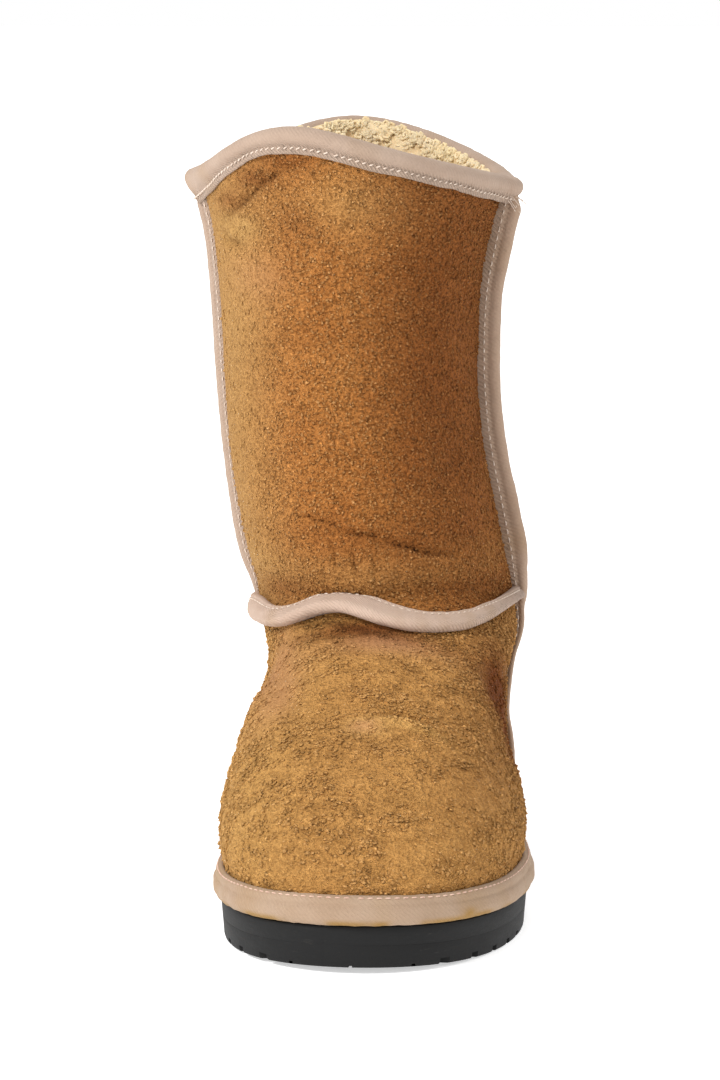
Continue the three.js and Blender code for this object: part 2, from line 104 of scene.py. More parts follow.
shaftTable = [
    (0.03, 0.545, 0.48, 0.475, 0.468, 0.22, 0.05, 0),
    (0.1, 0.575, 0.48, 0.475, 0.48, 0.38, 0.06, 0),
    (0.2, 0.565, 0.48, 0.472, 0.48, 0.58, 0.04, 0.02),
    (0.34, 0.535, 0.485, 0.463, 0.475, 0.8, 0.02, 0.1),
    (0.52, 0.515, 0.49, 0.462, 0.475, 0.96, 0, 0.28),
    (0.72, 0.505, 0.495, 0.48, 0.485, 1.02, -0.03, 0.6),
    (0.89, 0.51, 0.505, 0.52, 0.515, 1, -0.08, 0.9),
    (1, 0.52, 0.515, 0.565, 0.56, 1, -0.12, 1),
]
seamStep = len(footTable) + 0.3


# The value that lies a part of the way from low to high.
def between(low, high, part):
    return low + (high - low) * part


# Runs from 0 at low to 1 at high with soft ends.
def smooth(value, low, high):
    part = np.clip((value - low) / (high - low), 0, 1)
    return part * part * (3 - 2 * part)


# Height 1 at the middle, falling off as a bell.
def bell(value, middle, spread):
    return np.exp(-(((value - middle) / spread) ** 2))


# The share of the sole's length at y, counted from the heel, and y at a share.
def alongOf(y):
    return (heelBack - y) / soleLength


def yOf(along):
    return heelBack - along * soleLength


# The floor side of the sole: flat, with a low arch, a bevelled heel and a raised toe.
def soleBottom(y):
    along = alongOf(y)
    past = np.maximum(0, along - profile["spring"]) / (1 - profile["spring"])
    span = np.clip((along - profile["archFrom"]) / (profile["archTo"] - profile["archFrom"]), 0, 1)
    bevel = heelBevel * (1 - smooth(along, 0, profile["bevelTo"]))
    return toeSpring * past ** 2 + archRelief * np.sin(np.pi * span) ** 2 + bevel


# The top of the sole falls from heel to ball and rises again with the toe.
def soleTop(y):
    along = alongOf(y)
    past = np.maximum(0, along - profile["spring"]) / (1 - profile["spring"])
    fall = smooth(along, profile["heelBreast"], profile["ball"])
    return between(heelThickness, forefootThickness, fall) + toeSpring * past ** 2


# The section at the sole's top, drawn in all round by an inset.
def outlineRow(inset):
    return {
        "z": forefootThickness + fit,
        "front": yOf(outline["front"]) + inset,
        "back": yOf(outline["back"]) - inset,
        "widest": yOf(outline["widest"]),
        "medial": outline["medial"] * ballWidth - inset,
        "lateral": outline["lateral"] * ballWidth - inset,
        "shift": 0,
        "toeShift": toeShiftShare * ballWidth,
        "toeSquare": outline["toeSquare"],
        "heelSquare": outline["heelSquare"],
        "waist": outline["waist"],
        "skew": outline["skew"] * soleLength,
        "swing": forefootSwing,
        "follow": 1,
        "scallop": 0,
    }


# A section of the foot from a row of its table, with its shares turned into millimetres.
def footRow(values):
    row = dict(zip(footColumns, values))
    return {
        "z": between(forefootThickness + fit + weltTapeHeight, instepHeight, row["height"]),
        "front": yOf(row["front"]),
        "back": yOf(row["back"]),
        "widest": yOf(row["widest"]),
        "medial": row["medial"] * ballWidth,
        "lateral": row["lateral"] * ballWidth,
        "shift": row["shift"] * ballWidth,
        "toeShift": toeShiftShare * ballWidth * row["follow"],
        "toeSquare": row["toeSquare"],
        "heelSquare": row["heelSquare"],
        "waist": row["waist"],
        "skew": row["skew"] * soleLength,
        "swing": row["swing"] * forefootSwing,
        "follow": row["follow"],
        "scallop": 0,
    }


# The same for a section of the shaft.
def shaftRow(values):
    row = dict(zip(shaftColumns, values))
    return {
        "z": between(instepHeight, bootHeight, row["height"]),
        "front": shaftCentre - row["front"] * shaftDepth,
        "back": shaftCentre + row["back"] * shaftDepth,
        "widest": shaftCentre,
        "medial": row["medial"] * shaftWidth,
        "lateral": row["lateral"] * shaftWidth,
        "shift": -row["lean"] * shaftLean,
        "toeShift": 0,
        "toeSquare": row["square"],
        "heelSquare": row["square"],
        "waist": 0,
        "skew": 0,
        "swing": 0,
        "follow": 0,
        "scallop": row["scallop"],
    }


allRows = [outlineRow(ledge)] + [footRow(v) for v in footTable] + [shaftRow(v) for v in shaftTable]
collarStep = len(allRows) - 1
rowValues = {key: np.array([float(row[key]) for row in allRows]) for key in allRows[0]}


# A closed section from above: each quadrant is an ellipse filled out by its square, and the waist
# draws both sides in. Angle 0 is the toe and a quarter turn is the medial side.
def planPoint(row, angle):
    ahead = np.cos(angle)
    aside = np.sin(angle)
    square = np.where(ahead > 0, row["toeSquare"], row["heelSquare"])
    reach = np.where(ahead > 0, row["widest"] - row["front"], row["back"] - row["widest"])
    half = np.where(aside > 0, row["medial"], row["lateral"])
    y = row["widest"] - reach * ahead * np.sqrt(1 + square * aside ** 2) - row["skew"] * aside
    along = alongOf(y)
    pinch = bell(along, waist["place"], waist["length"])
    draw = 1 - row["waist"] * pinch * np.where(aside > 0, waist["medial"], waist["lateral"])
    swing = row["swing"] * smooth(along, profile["swingFrom"], profile["ball"])
    x = (row["shift"] + swing + row["toeShift"] * np.maximum(0, ahead) ** 2
         + half * aside * draw * np.sqrt(1 + square * ahead ** 2))
    return x, y


# The row at a step: each value runs through the sections as a Catmull-Rom spline.
def rowAt(step):
    base = np.clip(np.floor(step), 0, collarStep - 1).astype(int)
    part = step - base
    picks = [np.clip(base + k, 0, collarStep) for k in (-1, 0, 1, 2)]
    row = {}
    for key, values in rowValues.items():
        a, b, c, d = (values[pick] for pick in picks)
        bend = 2 * a - 5 * b + 4 * c - d
        twist = 3 * (b - c) + d - a
        row[key] = b + 0.5 * part * (c - a + part * (bend + part * twist))
    return row


# The outside of the upper: its foot follows the sole, and its collar falls to both side seams.
def skinPoint(angle, step):
    angle, step = np.broadcast_arrays(np.asarray(angle, float), np.asarray(step, float))
    row = rowAt(step)
    x, y = planPoint(row, angle)
    ahead = np.cos(angle)
    turn = np.where(ahead > 0, peakTurn["front"], -peakTurn["back"])
    dip = row["scallop"] * collarDip * np.sin(angle + turn * ahead ** 2) ** 2
    z = row["z"] + row["follow"] * (soleTop(y) - forefootThickness) - dip
    return np.stack([x, y, z], axis=-1)


# Vectors divided by their lengths.
def unit(vectors):
    return vectors / np.maximum(np.linalg.norm(vectors, axis=-1, keepdims=True), 1e-9)


# Point, outward normal, direction up the wall, and lengths per radian and per step.
def skinFrame(angle, step):
    near = 1e-3
    angle, step = np.broadcast_arrays(np.asarray(angle, float), np.asarray(step, float))
    point = skinPoint(angle, step)
    turn = (skinPoint(angle + near, step) - skinPoint(angle - near, step)) / (2 * near)
    low = np.maximum(step - near, 0)
    high = np.minimum(step + near, collarStep)
    climb = (skinPoint(angle, high) - skinPoint(angle, low)) / (high - low)[..., None]
    normal = unit(np.cross(turn, climb))
    return {
        "point": point, "normal": normal, "up": unit(climb),
        "perRadian": np.linalg.norm(turn, axis=-1), "perStep": np.linalg.norm(climb, axis=-1),
    }


# The skin's point plus its normal times out.
def offsetPoint(angle, step, out):
    at = skinFrame(angle, step)
    return at["point"] + at["normal"] * np.asarray(out, float)[..., None]


# The step that lies a length down the skin from the collar's rim.
def stepBelowCollar(angle, down):
    slices = 4
    step = np.full(np.broadcast(angle, down).shape, float(collarStep))
    for _ in range(slices):
        step = step - down / slices / skinFrame(angle, step)["perStep"]
    return step


# The side seams' place as a share of the length: it eases from sole to instep and on to the collar.
def seamAlong(step):
    above = between(seamPlace["instep"], seamPlace["collar"], smooth(step, seamStep, collarStep))
    below = between(seamPlace["sole"], seamPlace["instep"], smooth(step, 0, seamStep))
    return np.where(step > seamStep, above, below)


# The angle at which a section meets a side seam, found by halving. side is 1 on the medial side.
def seamAngle(step, side):
    step = np.asarray(step, float)
    target = yOf(seamAlong(step))
    front = np.zeros(step.shape)
    back = np.full(step.shape, np.pi)
    for _ in range(40):
        middle = (front + back) / 2
        short = skinPoint(side * middle, step)[..., 1] < target
        front = np.where(short, middle, front)
        back = np.where(short, back, middle)
    return side * (front + back) / 2


# Smooth random values from -1 to 1 on a cubic lattice, blended between its corners.
noiseTable = np.random.default_rng(5).uniform(-1, 1, 8192)


def softNoise(points, cell, seed=0):
    place = points / np.asarray(cell, float) + seed * 17.31
    base = np.floor(place).astype(np.int64)
    part = place - base
    part = part * part * (3 - 2 * part)
    total = np.zeros(points.shape[:-1])
    for corner in range(8):
        offset = np.array([corner & 1, corner >> 1 & 1, corner >> 2 & 1])
        at = base + offset
        mixed = (at[..., 0] * 73856093) ^ (at[..., 1] * 19349663) ^ (at[..., 2] * 83492791)
        weight = np.prod(np.where(offset == 1, part, 1 - part), axis=-1)
        total += weight * noiseTable[(mixed + seed * 101) % 8192]
    return total


# Several layers of noise, each half as large and half as high.
def layeredNoise(points, cell, layers, seed=0):
    total = np.zeros(points.shape[:-1])
    for k in range(layers):
        total += softNoise(points, np.asarray(cell, float) / 2 ** k, seed + k) / 2 ** k
    return total


# A curve through control values, evenly resampled to count values.
def throughValues(values, count):
    values = np.asarray(values, float)
    reach = np.linspace(0, len(values) - 1, count)
    base = np.clip(np.floor(reach).astype(int), 0, len(values) - 2)
    part = (reach - base)[:, None] if values.ndim > 1 else reach - base
    a, b, c, d = (values[np.clip(base + k, 0, len(values) - 1)] for k in (-1, 0, 1, 2))
    bend = 2 * a - 5 * b + 4 * c - d
    twist = 3 * (b - c) + d - a
    return b + 0.5 * part * (c - a + part * (bend + part * twist))


# Distance from points of a plane to a broken line, and the share of the line that is reached there.
def lineDistance(points, line):
    line = np.asarray(line, float)
    lengths = np.linalg.norm(np.diff(line, axis=0), axis=1)
    starts = np.concatenate([[0], np.cumsum(lengths)])
    best = np.full(points.shape[:-1], 1e9)
    share = np.zeros(points.shape[:-1])
    for k, length in enumerate(lengths):
        way = (line[k + 1] - line[k]) / length
        reach = np.clip((points - line[k]) @ way, 0, length)
        gap = np.linalg.norm(points - line[k] - reach[..., None] * way, axis=-1)
        share = np.where(gap < best, (starts[k] + reach) / starts[-1], share)
        best = np.minimum(best, gap)
    return best, share


# Meshes

# A piece from points in millimetres and faces, which rides on the boot's one body and stands in for
# the nodes that are named. layers are its painted values, one for each point.
def addMesh(name, points, faces, material, nodes, uvs=None, layers=None, sharp=None):
    mesh = bpy.data.meshes.new(name)
    mesh.from_pydata(np.asarray(points) * 1e-3, [], faces)
    mesh.polygons.foreach_set("use_smooth", np.ones(len(mesh.polygons), bool))
    if uvs is not None:
        mesh.uv_layers.new(name="UVMap").data.foreach_set("uv", np.asarray(uvs, np.float32).ravel())
    for key, values in (layers or {}).items():
        layer = mesh.attributes.new(key, "FLOAT", "POINT")
        layer.data.foreach_set("value", np.asarray(values, np.float32).ravel())
    if sharp is not None:
        mesh.set_sharp_from_angle(angle=math.radians(sharp))
    mesh.materials.append(material)
    piece = bpy.data.objects.new(name, mesh)
    bpy.context.scene.collection.objects.link(piece)
    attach(piece, "root")
    if nodes:
        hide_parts(*nodes)
    return piece


# Quads between rows of points. Columns close round where loopColumns is set, and so do the rows
# where loopRows is set. The faces look to the side from which columns run left and rows up.
def gridFaces(rowCount, columnCount, loopRows=False, loopColumns=False):
    rows = np.arange(rowCount if loopRows else rowCount - 1)
    columns = np.arange(columnCount if loopColumns else columnCount - 1)
    k, i = np.meshgrid(rows, columns, indexing="ij")
    nextRow = (k + 1) % rowCount * columnCount
    nextColumn = (i + 1) % columnCount
    here = k * columnCount
    return np.stack([here + i, here + nextColumn, nextRow + nextColumn, nextRow + i], -1).reshape(-1, 4)


# UVs in metres for the same quads: u along the columns and v along the rows.
def gridUvs(u, v, rowCount, columnCount, loopRows=False, loopColumns=False):
    rows = np.arange(rowCount if loopRows else rowCount - 1)
    columns = np.arange(columnCount if loopColumns else columnCount - 1)
    k, i = np.meshgrid(rows, columns, indexing="ij")
    corners = [(k, i), (k, i + 1), (k + 1, i + 1), (k + 1, i)]
    return np.stack([np.stack([u[b], v[a]], -1) for a, b in corners], -2).reshape(-1, 2) * 1e-3


# Lengths along a run of points, starting at 0. The last entry closes the loop where it is one.
def runLengths(points, loop):
    ends = np.concatenate([points, points[:1]]) if loop else points
    return np.concatenate([[0], np.cumsum(np.linalg.norm(np.diff(ends, axis=0), axis=1))])


# Closes a run of rings at its upper end: strips from side to side of a ring with an even count.
def capFaces(start, count):
    i = np.arange(count // 2 - 1)
    return start + np.stack([i, i + 1, count - 2 - i, count - 1 - i], -1)


# Turns the faces of a closed mesh outward, by the sign of the volume that they enclose.
def outward(points, faces):
    a, b, c, d = (points[faces[:, k]] for k in range(4))
    volume = np.einsum("ij,ij->", a, np.cross(b, c)) + np.einsum("ij,ij->", a, np.cross(c, d))
    return faces if volume > 0 else faces[:, ::-1]


# Closed tubes with six sides. points has the shape tubes, rings, 6, 3.
def tubeFaces(tubes, rings):
    one = np.concatenate([gridFaces(rings, 6, loopColumns=True), [[3, 2, 1, 0], [5, 4, 3, 0]],
                          (rings - 1) * 6 + np.array([[0, 1, 2, 3], [0, 3, 4, 5]])])
    return (np.arange(tubes)[:, None, None] * rings * 6 + one).reshape(-1, 4)


# Tubes round centre lines: each ring is a circle square to its line, with six points. centres has
# the shape tubes, rings, 3 and radii tubes, rings.
def tubesAround(centres, radii, lead):
    way = unit(np.gradient(centres, axis=1))
    side = unit(np.cross(way, lead))
    rise = np.cross(side, way)
    turn = np.arange(6) / 6 * 2 * np.pi
    ring = (np.cos(turn)[:, None] * side[:, :, None] + np.sin(turn)[:, None] * rise[:, :, None])
    return centres[:, :, None] + ring * radii[:, :, None, None]


# Stitches: short threads that rise from the tape and dip back into it with the cube of the way from
# their middle, and get thinner with its fourth power. points and normals are at the stitches' middles
# and ways along them.
def stitchPoints(points, normals, ways, length, thickness):
    reach = np.linspace(-1, 1, 7)
    rise = thickness * (0.5 - 1.15 * np.abs(reach) ** 3)
    centres = (points[:, None] + ways[:, None] * (reach * length / 2)[:, None]
               + normals[:, None] * rise[:, None])
    radii = np.broadcast_to(thickness / 2 * np.sqrt(1 - 0.75 * reach ** 4), centres.shape[:2])
    return tubesAround(centres, radii, normals[:, None])


def addStitches(name, points, normals, ways, material, length, thickness):
    tubes = stitchPoints(points, unit(normals), unit(ways), length, thickness)
    faces = tubeFaces(len(tubes), tubes.shape[1])
    return addMesh(name, tubes.reshape(-1, 3), faces, material, ())


# Even places along a run of points: positions in the run, as fractions of an index.
def evenPlaces(points, pitch, margin):
    lengths = runLengths(points, False)
    count = int((lengths[-1] - 2 * margin) / pitch)
    wanted = margin + pitch * (np.arange(count) + 0.5)
    return np.interp(wanted, lengths, np.arange(len(points)))


# Values of a run at such places.
def sampleRun(values, places):
    base = np.clip(places.astype(int), 0, len(values) - 2)
    part = (places - base)[:, None]
    return between(values[base], values[base + 1], part)


# Materials

# A colour from its usual values of 0 to 255, as the shader wants it.
def linear(red, green, blue):
    return [c / 12.92 if c <= 0.04045 else ((c + 0.055) / 1.055) ** 2.4
            for c in (red / 255, green / 255, blue / 255)] + [1]


# Links a shade to a socket, or sets a plain value there.
def feed(tree, socket, value):
    if isinstance(value, Shade):
        tree.links.new(value.socket, socket)
    elif value is not None:
        socket.default_value = value


# A value in a material's nodes, with plain arithmetic.
class Shade:
    def __init__(self, tree, socket):
        self.tree = tree
        self.socket = socket

    def math(self, operation, *others):
        node = self.tree.nodes.new("ShaderNodeMath")
        node.operation = operation
        for socket, value in zip(node.inputs, (self, *others)):
            feed(self.tree, socket, value)
        return Shade(self.tree, node.outputs[0])

    def __add__(self, other):
        return self.math("ADD", other)

    def __mul__(self, other):
        return self.math("MULTIPLY", other)

    def __sub__(self, other):
        return self.math("SUBTRACT", other)

    def __rsub__(self, other):
        return (self * -1) + other

    def __pow__(self, other):
        return self.math("POWER", other)

    __radd__ = __add__
    __rmul__ = __mul__

    def clamped(self):
        return self.math("MAXIMUM", 0.0).math("MINIMUM", 1.0)

    def ramp(self, low, high):
        return ((self - low) * (1 / (high - low))).clamped()


# A material with a Principled shader and helpers for the nodes that feed it.
class Finish:
    def __init__(self, name, roughness, sheen=0.0, sheenTint=None):
        self.material = bpy.data.materials.new(name)
        self.material.use_nodes = True
        self.tree = self.material.node_tree
        self.shader = self.tree.nodes["Principled BSDF"]
        self.set("Roughness", roughness)
        self.set("Specular IOR Level", 0.25)
        if sheen:
            self.set("Sheen Weight", sheen)
            self.set("Sheen Roughness", 0.5)
            self.set("Sheen Tint", sheenTint)

    def set(self, name, value):
        feed(self.tree, self.shader.inputs[name], value)

    def node(self, kind, inputs=None, settings=None, output=0):
        node = self.tree.nodes.new(kind)
        for key, value in (settings or {}).items():
            setattr(node, key, value)
        for key, value in (inputs or {}).items():
            feed(self.tree, node.inputs[key], value)
        return Shade(self.tree, node.outputs[output])

    def place(self, stretch=(1, 1, 1)):
        place = self.node("ShaderNodeTexCoord", output="Object")
        return self.node("ShaderNodeMapping", {"Vector": place, "Scale": stretch})

    def noise(self, place, scale, detail=2.0, roughness=0.5):
        return self.node("ShaderNodeTexNoise", {
            "Vector": place, "Scale": scale, "Detail": detail, "Roughness": roughness})

    def layer(self, name):
        return self.node("ShaderNodeAttribute", settings={"attribute_name": name}, output="Fac")

    def blend(self, factor, first, second, how="MIX"):
        node = self.tree.nodes.new("ShaderNodeMix")
        node.data_type = "RGBA"
        node.blend_type = how
        feed(self.tree, node.inputs[0], factor)
        feed(self.tree, node.inputs[6], first)
        feed(self.tree, node.inputs[7], second)
        return Shade(self.tree, node.outputs[2])

    def grey(self, value):
        return self.node("ShaderNodeCombineColor", {"Red": value, "Green": value, "Blue": value})

    # A grey that turns to red brown where it is dark.
    def warmGrey(self, value):
        return self.node("ShaderNodeCombineColor", {
            "Red": value, "Green": value ** 1.12, "Blue": value ** 1.3})

    def bump(self, height, distance, strength=1.0):
        self.set("Normal", self.node("ShaderNodeBump", {
            "Height": height, "Distance": distance, "Strength": strength}))


# Suede: golden and redder patches with fine nap and pits, and light, dark, bare and creased places from the
# mesh. The light places are mostly painted light, the dark and creased ones painted shade, and the bare
# ones worn smooth. Tufts get lighter towards their tips as a painted highlight. coarse runs from 0 for a
# short, even nap to 1 for a long one, and pale is the colour of the painted light.
def suedeFinish(name, coarse, pale):
    finish = Finish(name, 0.95, 0.05, linear(236, 180, 110))
    finish.set("Specular IOR Level", 0.12)
    place = finish.place()
    streaked = finish.place((1, 1, between(1.1, 1.6, coarse)))
    patches = finish.noise(place, 17, 3)
    mottling = finish.noise(place, 80, 4, 0.6)
    grain = finish.noise(streaked, between(900, 640, coarse), 2, 0.6)
    fibre = finish.noise(streaked, 2300, 2, 0.6)
    keys = ("light", "dark", "bare", "hollow", "tip")
    light, dark, bare, hollow, tip = (finish.layer(key) for key in keys)
    tone = ((patches - 0.5) * 1.3 + (mottling - 0.5) * 0.9 + 0.5).clamped()
    colour = finish.blend(tone, linear(158, 97, 45), linear(184, 124, 64))
    # Painted light: the pale colour where the light layer is set.
    colour = finish.blend(light.clamped(), colour, linear(*pale))
    # Painted shade: red brown where the dark layer is set.
    colour = finish.blend(dark.clamped(), colour, linear(120, 63, 24))
    colour = finish.blend(bare.clamped(), colour, linear(176, 128, 90))
    # Painted highlight: tufts grow paler towards their tips, less so in the painted shade.
    tipHighlight = tip.ramp(0.3, 1.1) * (0.5 - dark.clamped() * 0.4)
    colour = finish.blend(tipHighlight, colour, linear(226, 176, 115))
    nap = 1 - bare * 0.7 - light.clamped() * between(0.65, 0, coarse)
    # Light crumbs and dark pits of the grain paint the nap's small highlights and shade, and hollow paints
    # shade into its dips and creases.
    crumbs = grain.ramp(0.5, 0.68) * nap
    pits = (grain * -1).ramp(-0.48, -0.34) * nap
    shade = (0.97 + crumbs * between(0.46, 0.24, coarse) - pits * between(0.56, 0.2, coarse)
             + (fibre - 0.5) * 0.36 - hollow * 0.45 + tip * 0.12
             - light.clamped() * between(0.12, 0, coarse))
    finish.set("Base Color", finish.blend(1.0, colour, finish.warmGrey(shade), "MULTIPLY"))
    finish.bump(crumbs - pits * 0.8 + fibre * 0.2, between(0.0006, 0.0009, coarse), 1.0)
    return finish.material


# Twill tape: diagonal ribs along its own UVs, plainest where it is rolled and clearest in its hem,
# with a little grime.
def tapeFinish(name, colour, grime):
    finish = Finish(name, 0.85, 0.15, linear(230, 215, 200))
    place = finish.place()
    uv = finish.node("ShaderNodeTexCoord", output="UV")
    split = finish.node("ShaderNodeSeparateXYZ", {"Vector": uv}, output="X")
    across = Shade(finish.tree, split.socket.node.outputs["Y"])
    wobble = finish.noise(place, 130, 2) * 0.0012
    ribPitch, yarnPitch = 0.0016, 0.0008
    ribs = ((split + across * 0.8 + wobble) * (2 * math.pi / ribPitch)).math("SINE")
    yarn = 2 * math.pi / yarnPitch
    weave = (split * yarn).math("SINE") * (across * yarn).math("SINE")
    mottling = finish.noise(place, 60, 4, 0.6)
    fuzz = finish.noise(place, 1300, 2)
    specks = finish.noise(place, 750, 2).ramp(0.56, 0.72)
    dirt, hem = finish.layer("dirt"), finish.layer("hem")
    base = finish.blend((mottling - 0.35).ramp(0, 0.35) * 0.55, linear(*colour), linear(*grime))
    base = finish.blend(dirt.clamped(), base, linear(146, 112, 60))
    lines = ribs * (hem * 0.1 + 0.02) + weave * hem * 0.06 - specks * hem * 0.26
    base = finish.blend(1.0, base, finish.grey(lines + (fuzz - 0.5) * 0.2 + 0.98), "MULTIPLY")
    finish.set("Base Color", base)
    finish.bump(ribs * (hem * 0.8 + 0.2) + weave * 0.2 + fuzz * 0.7 - specks * hem, 0.0003, 0.8)
    return finish.material


# Thread: two near colours in a fine twist.
def threadFinish(name, dark, light):
    finish = Finish(name, 0.7, 0.2, linear(250, 240, 230))
    twist = finish.noise(finish.place(), 1200, 2)
    finish.set("Base Color", finish.blend(twist.ramp(0.35, 0.65), linear(*dark), linear(*light)))
    finish.bump(twist, 0.0002)
    return finish.material


# Fleece: cream tips over yellower roots, which are darker as painted shade deep in the pile.
def fleeceFinish():
    finish = Finish("fleece", 1.0, 0.5, linear(255, 240, 205))
    place = finish.place()
    tip = finish.layer("tip")
    wool = finish.noise(place, 500, 4, 0.7)
    patches = finish.noise(place, 40, 3)
    colour = finish.blend(tip.clamped(), linear(206, 178, 137), linear(230, 208, 172))
    colour = finish.blend(patches.ramp(0.35, 0.7) * 0.5, colour, linear(218, 192, 142))
    colour = finish.blend(1.0, colour, finish.grey(0.88 + wool * 0.24), "MULTIPLY")
    finish.set("Base Color", colour)
    finish.bump(wool + finish.noise(place, 1800, 2) * 0.4, 0.0007, 0.8)
    finish.set("Subsurface Weight", 0.25)
    finish.set("Subsurface Radius", (0.004, 0.003, 0.002))
    finish.set("Subsurface Scale", 0.5)
    return finish.material


# Rubber: matte black with fine moulding grain, a little dust and a mould line at the toe.
def rubberFinish():
    finish = Finish("sole_rubber", 0.62)
    place = finish.place()
    grain = finish.noise(place, 700, 3, 0.6)
    dust = finish.noise(finish.place((1, 1, 3)), 45, 5, 0.65)
    scuffs = finish.noise(finish.place((1, 1, 6)), 160, 4, 0.7)
    colour = finish.blend(dust.ramp(0.45, 0.75) * 0.5, linear(15, 15, 15), linear(24, 23, 22))
    colour = finish.blend(scuffs.ramp(0.64, 0.74) * 0.25, colour, linear(70, 66, 61))
    spot = finish.node("ShaderNodeSeparateXYZ", {"Vector": place}, output="X")
    front = (Shade(finish.tree, spot.socket.node.outputs["Y"]) * -1).ramp(0.21, 0.23)
    mark = (1 - (spot + 0.0035).math("ABSOLUTE") * 1100).clamped() * front
    colour = finish.blend(mark * 0.7, colour, linear(12, 12, 12))
    finish.set("Base Color", colour)
    finish.set("Roughness", 0.55 + dust * 0.25)
    finish.bump(grain * 0.4 + scuffs * 0.6, 0.0003, 0.7)
    return finish.material


shaftSuede = suedeFinish("suede_shaft", 0.25, (178, 137, 82))
vampSuede = suedeFinish("suede_vamp", 0.9, (194, 146, 83))
weltTape = tapeFinish("tape_welt", (163, 139, 117), (150, 123, 98))
instepTape = tapeFinish("tape_instep", (190, 165, 148), (172, 146, 126))
# A darker copy of the tape for the medial side tape, as painted shade.
shadedSideTape = tapeFinish("tape_side_shaded", (166, 141, 121), (146, 121, 102))
collarTape = tapeFinish("tape_collar", (168, 146, 129), (150, 126, 108))
thread = threadFinish("thread", (192, 171, 153), (224, 208, 193))
weltThread = threadFinish("thread_welt", (190, 152, 134), (212, 182, 162))
fleece = fleeceFinish()
rubber = rubberFinish()
print("materials made")


# Suede panels

# Folds, listed one by one. Each runs through places on the boot, x and z on the shaft or x and y on the
# vamp, in millimetres. depth is below the skin (or above it where negative) over a half width, and lip
# raises the skin on both sides.
shaftFolds = [
    {"line": [(-29, 140), (-21, 139), (-12, 136.5)], "depth": 1.3, "width": 1.4, "lip": 0.7},
    {"line": [(-14, 135.5), (-5, 134), (3, 133)], "depth": 1.3, "width": 1.4, "lip": 0.7},
    {"line": [(0, 132), (9, 130), (18, 126.5), (28, 125)], "depth": 1.9, "width": 1.7, "lip": 1},
    {"line": [(-16, 131), (-14, 121)], "depth": 0.8, "width": 1.3, "lip": 0.4},
    {"line": [(-8, 130), (-7, 118)], "depth": 0.9, "width": 1.4, "lip": 0.4},
    {"line": [(0, 128), (0, 118)], "depth": 0.7, "width": 1.3, "lip": 0.3},
    {"line": [(9, 124), (8, 116)], "depth": 0.6, "width": 1.5, "lip": 0.3},
    {"line": [(-64, 246), (-58, 249), (-50, 255), (-44, 261), (-36, 266), (-26, 269)],
     "depth": 1.5, "width": 1.8, "lip": 1},
    {"line": [(-62, 242), (-58, 238.5), (-51, 238)], "depth": 1.2, "width": 1.6, "lip": 0.9},
    {"line": [(-44, 205), (-30, 203), (-8, 206)], "depth": 0.7, "width": 6, "lip": 0.3},
    {"line": [(-50, 160), (-36, 152), (-22, 149)], "depth": 0.8, "width": 5, "lip": 0.3},
    {"line": [(34, 172), (26, 158), (22, 146)], "depth": 0.9, "width": 5, "lip": 0.3},
    {"line": [(12, 224), (24, 216), (36, 214)], "depth": 0.8, "width": 5, "lip": 0.3},
]
vampFolds = [
    {"line": [(9, -177), (17, -175.5), (26, -175)], "depth": 2.2, "width": 1.5, "lip": 0.6},
    {"line": [(2, -184), (10, -180.5), (21, -179.5), (31, -180)], "depth": -1.2, "width": 1.7, "lip": 0},
    {"line": [(-4, -158), (10, -162), (26, -160)], "depth": 0.7, "width": 3, "lip": 0.4},
    {"line": [(-42, -97), (-36, -124), (-27, -157), (-21, -180)], "depth": 2, "width": 5, "lip": 0.6},
    {"line": [(49, -104), (47, -122), (44, -138)], "depth": 2.2, "width": 5, "lip": 0.6},
    {"line": [(-30, -118), (-14, -124), (4, -124)], "depth": 1.1, "width": 3, "lip": 0.3},
    {"line": [(-30, -176), (-18, -186), (-8, -190)], "depth": 0.8, "width": 3, "lip": 0.4},
]


# Height of the folds: a bell down along each line and a wider, lower one up beside it, both fading
# to the line's ends.
def foldRelief(plane, folds):
    relief = np.zeros(plane.shape[:-1])
    for fold in folds:
        gap, share = lineDistance(plane, fold["line"])
        ends = np.sin(np.pi * np.clip(share, 0.04, 0.96)) ** 0.6
        trough = bell(gap, 0, fold["width"]) * fold["depth"]
        lip = bell(gap, 1.9 * fold["width"], 0.9 * fold["width"]) * fold["lip"]
        relief += ends * (lip - trough)
    return relief


# A painted shade line at the bottom of each fold.
def foldShade(plane, folds):
    shade = np.zeros(plane.shape[:-1])
    for fold in folds:
        gap, share = lineDistance(plane, fold["line"])
        ends = np.sin(np.pi * np.clip(share, 0.03, 0.97)) ** 0.5
        strength = min(1.2, 1.2 * fold["depth"] / fold["width"])
        shade += ends * bell(gap, 0, 0.45 * fold["width"]) * strength
    return shade


# Soft spots of a painted value: places on the shaft (x, z) or the vamp (x, y) with their half sizes
# and strengths, each a bell over an ellipse.
def spots(plane, places):
    total = np.zeros(plane.shape[:-1])
    for x, z, wide, high, strength in places:
        reach = ((plane[..., 0] - x) / wide) ** 2 + ((plane[..., 1] - z) / high) ** 2
        total += strength * np.exp(-reach)
    return total


# Steps from low to high, evenly spaced along the skin at one angle.
def evenSteps(low, high, count, angle):
    dense = np.linspace(low, high, 600)
    lengths = runLengths(skinPoint(angle, dense), False)
    return np.interp(np.linspace(0, 1, count), lengths / lengths[-1], dense)


# Shares from 0 to 1 that space columns evenly along the section at one step.
def evenShares(count, step, fromAngle, toAngle):
    shares = np.linspace(0, 1, 600)
    lengths = runLengths(skinPoint(between(fromAngle, toAngle, shares), step), False)
    return np.interp(np.linspace(0, 1, count), lengths / lengths[-1], shares)


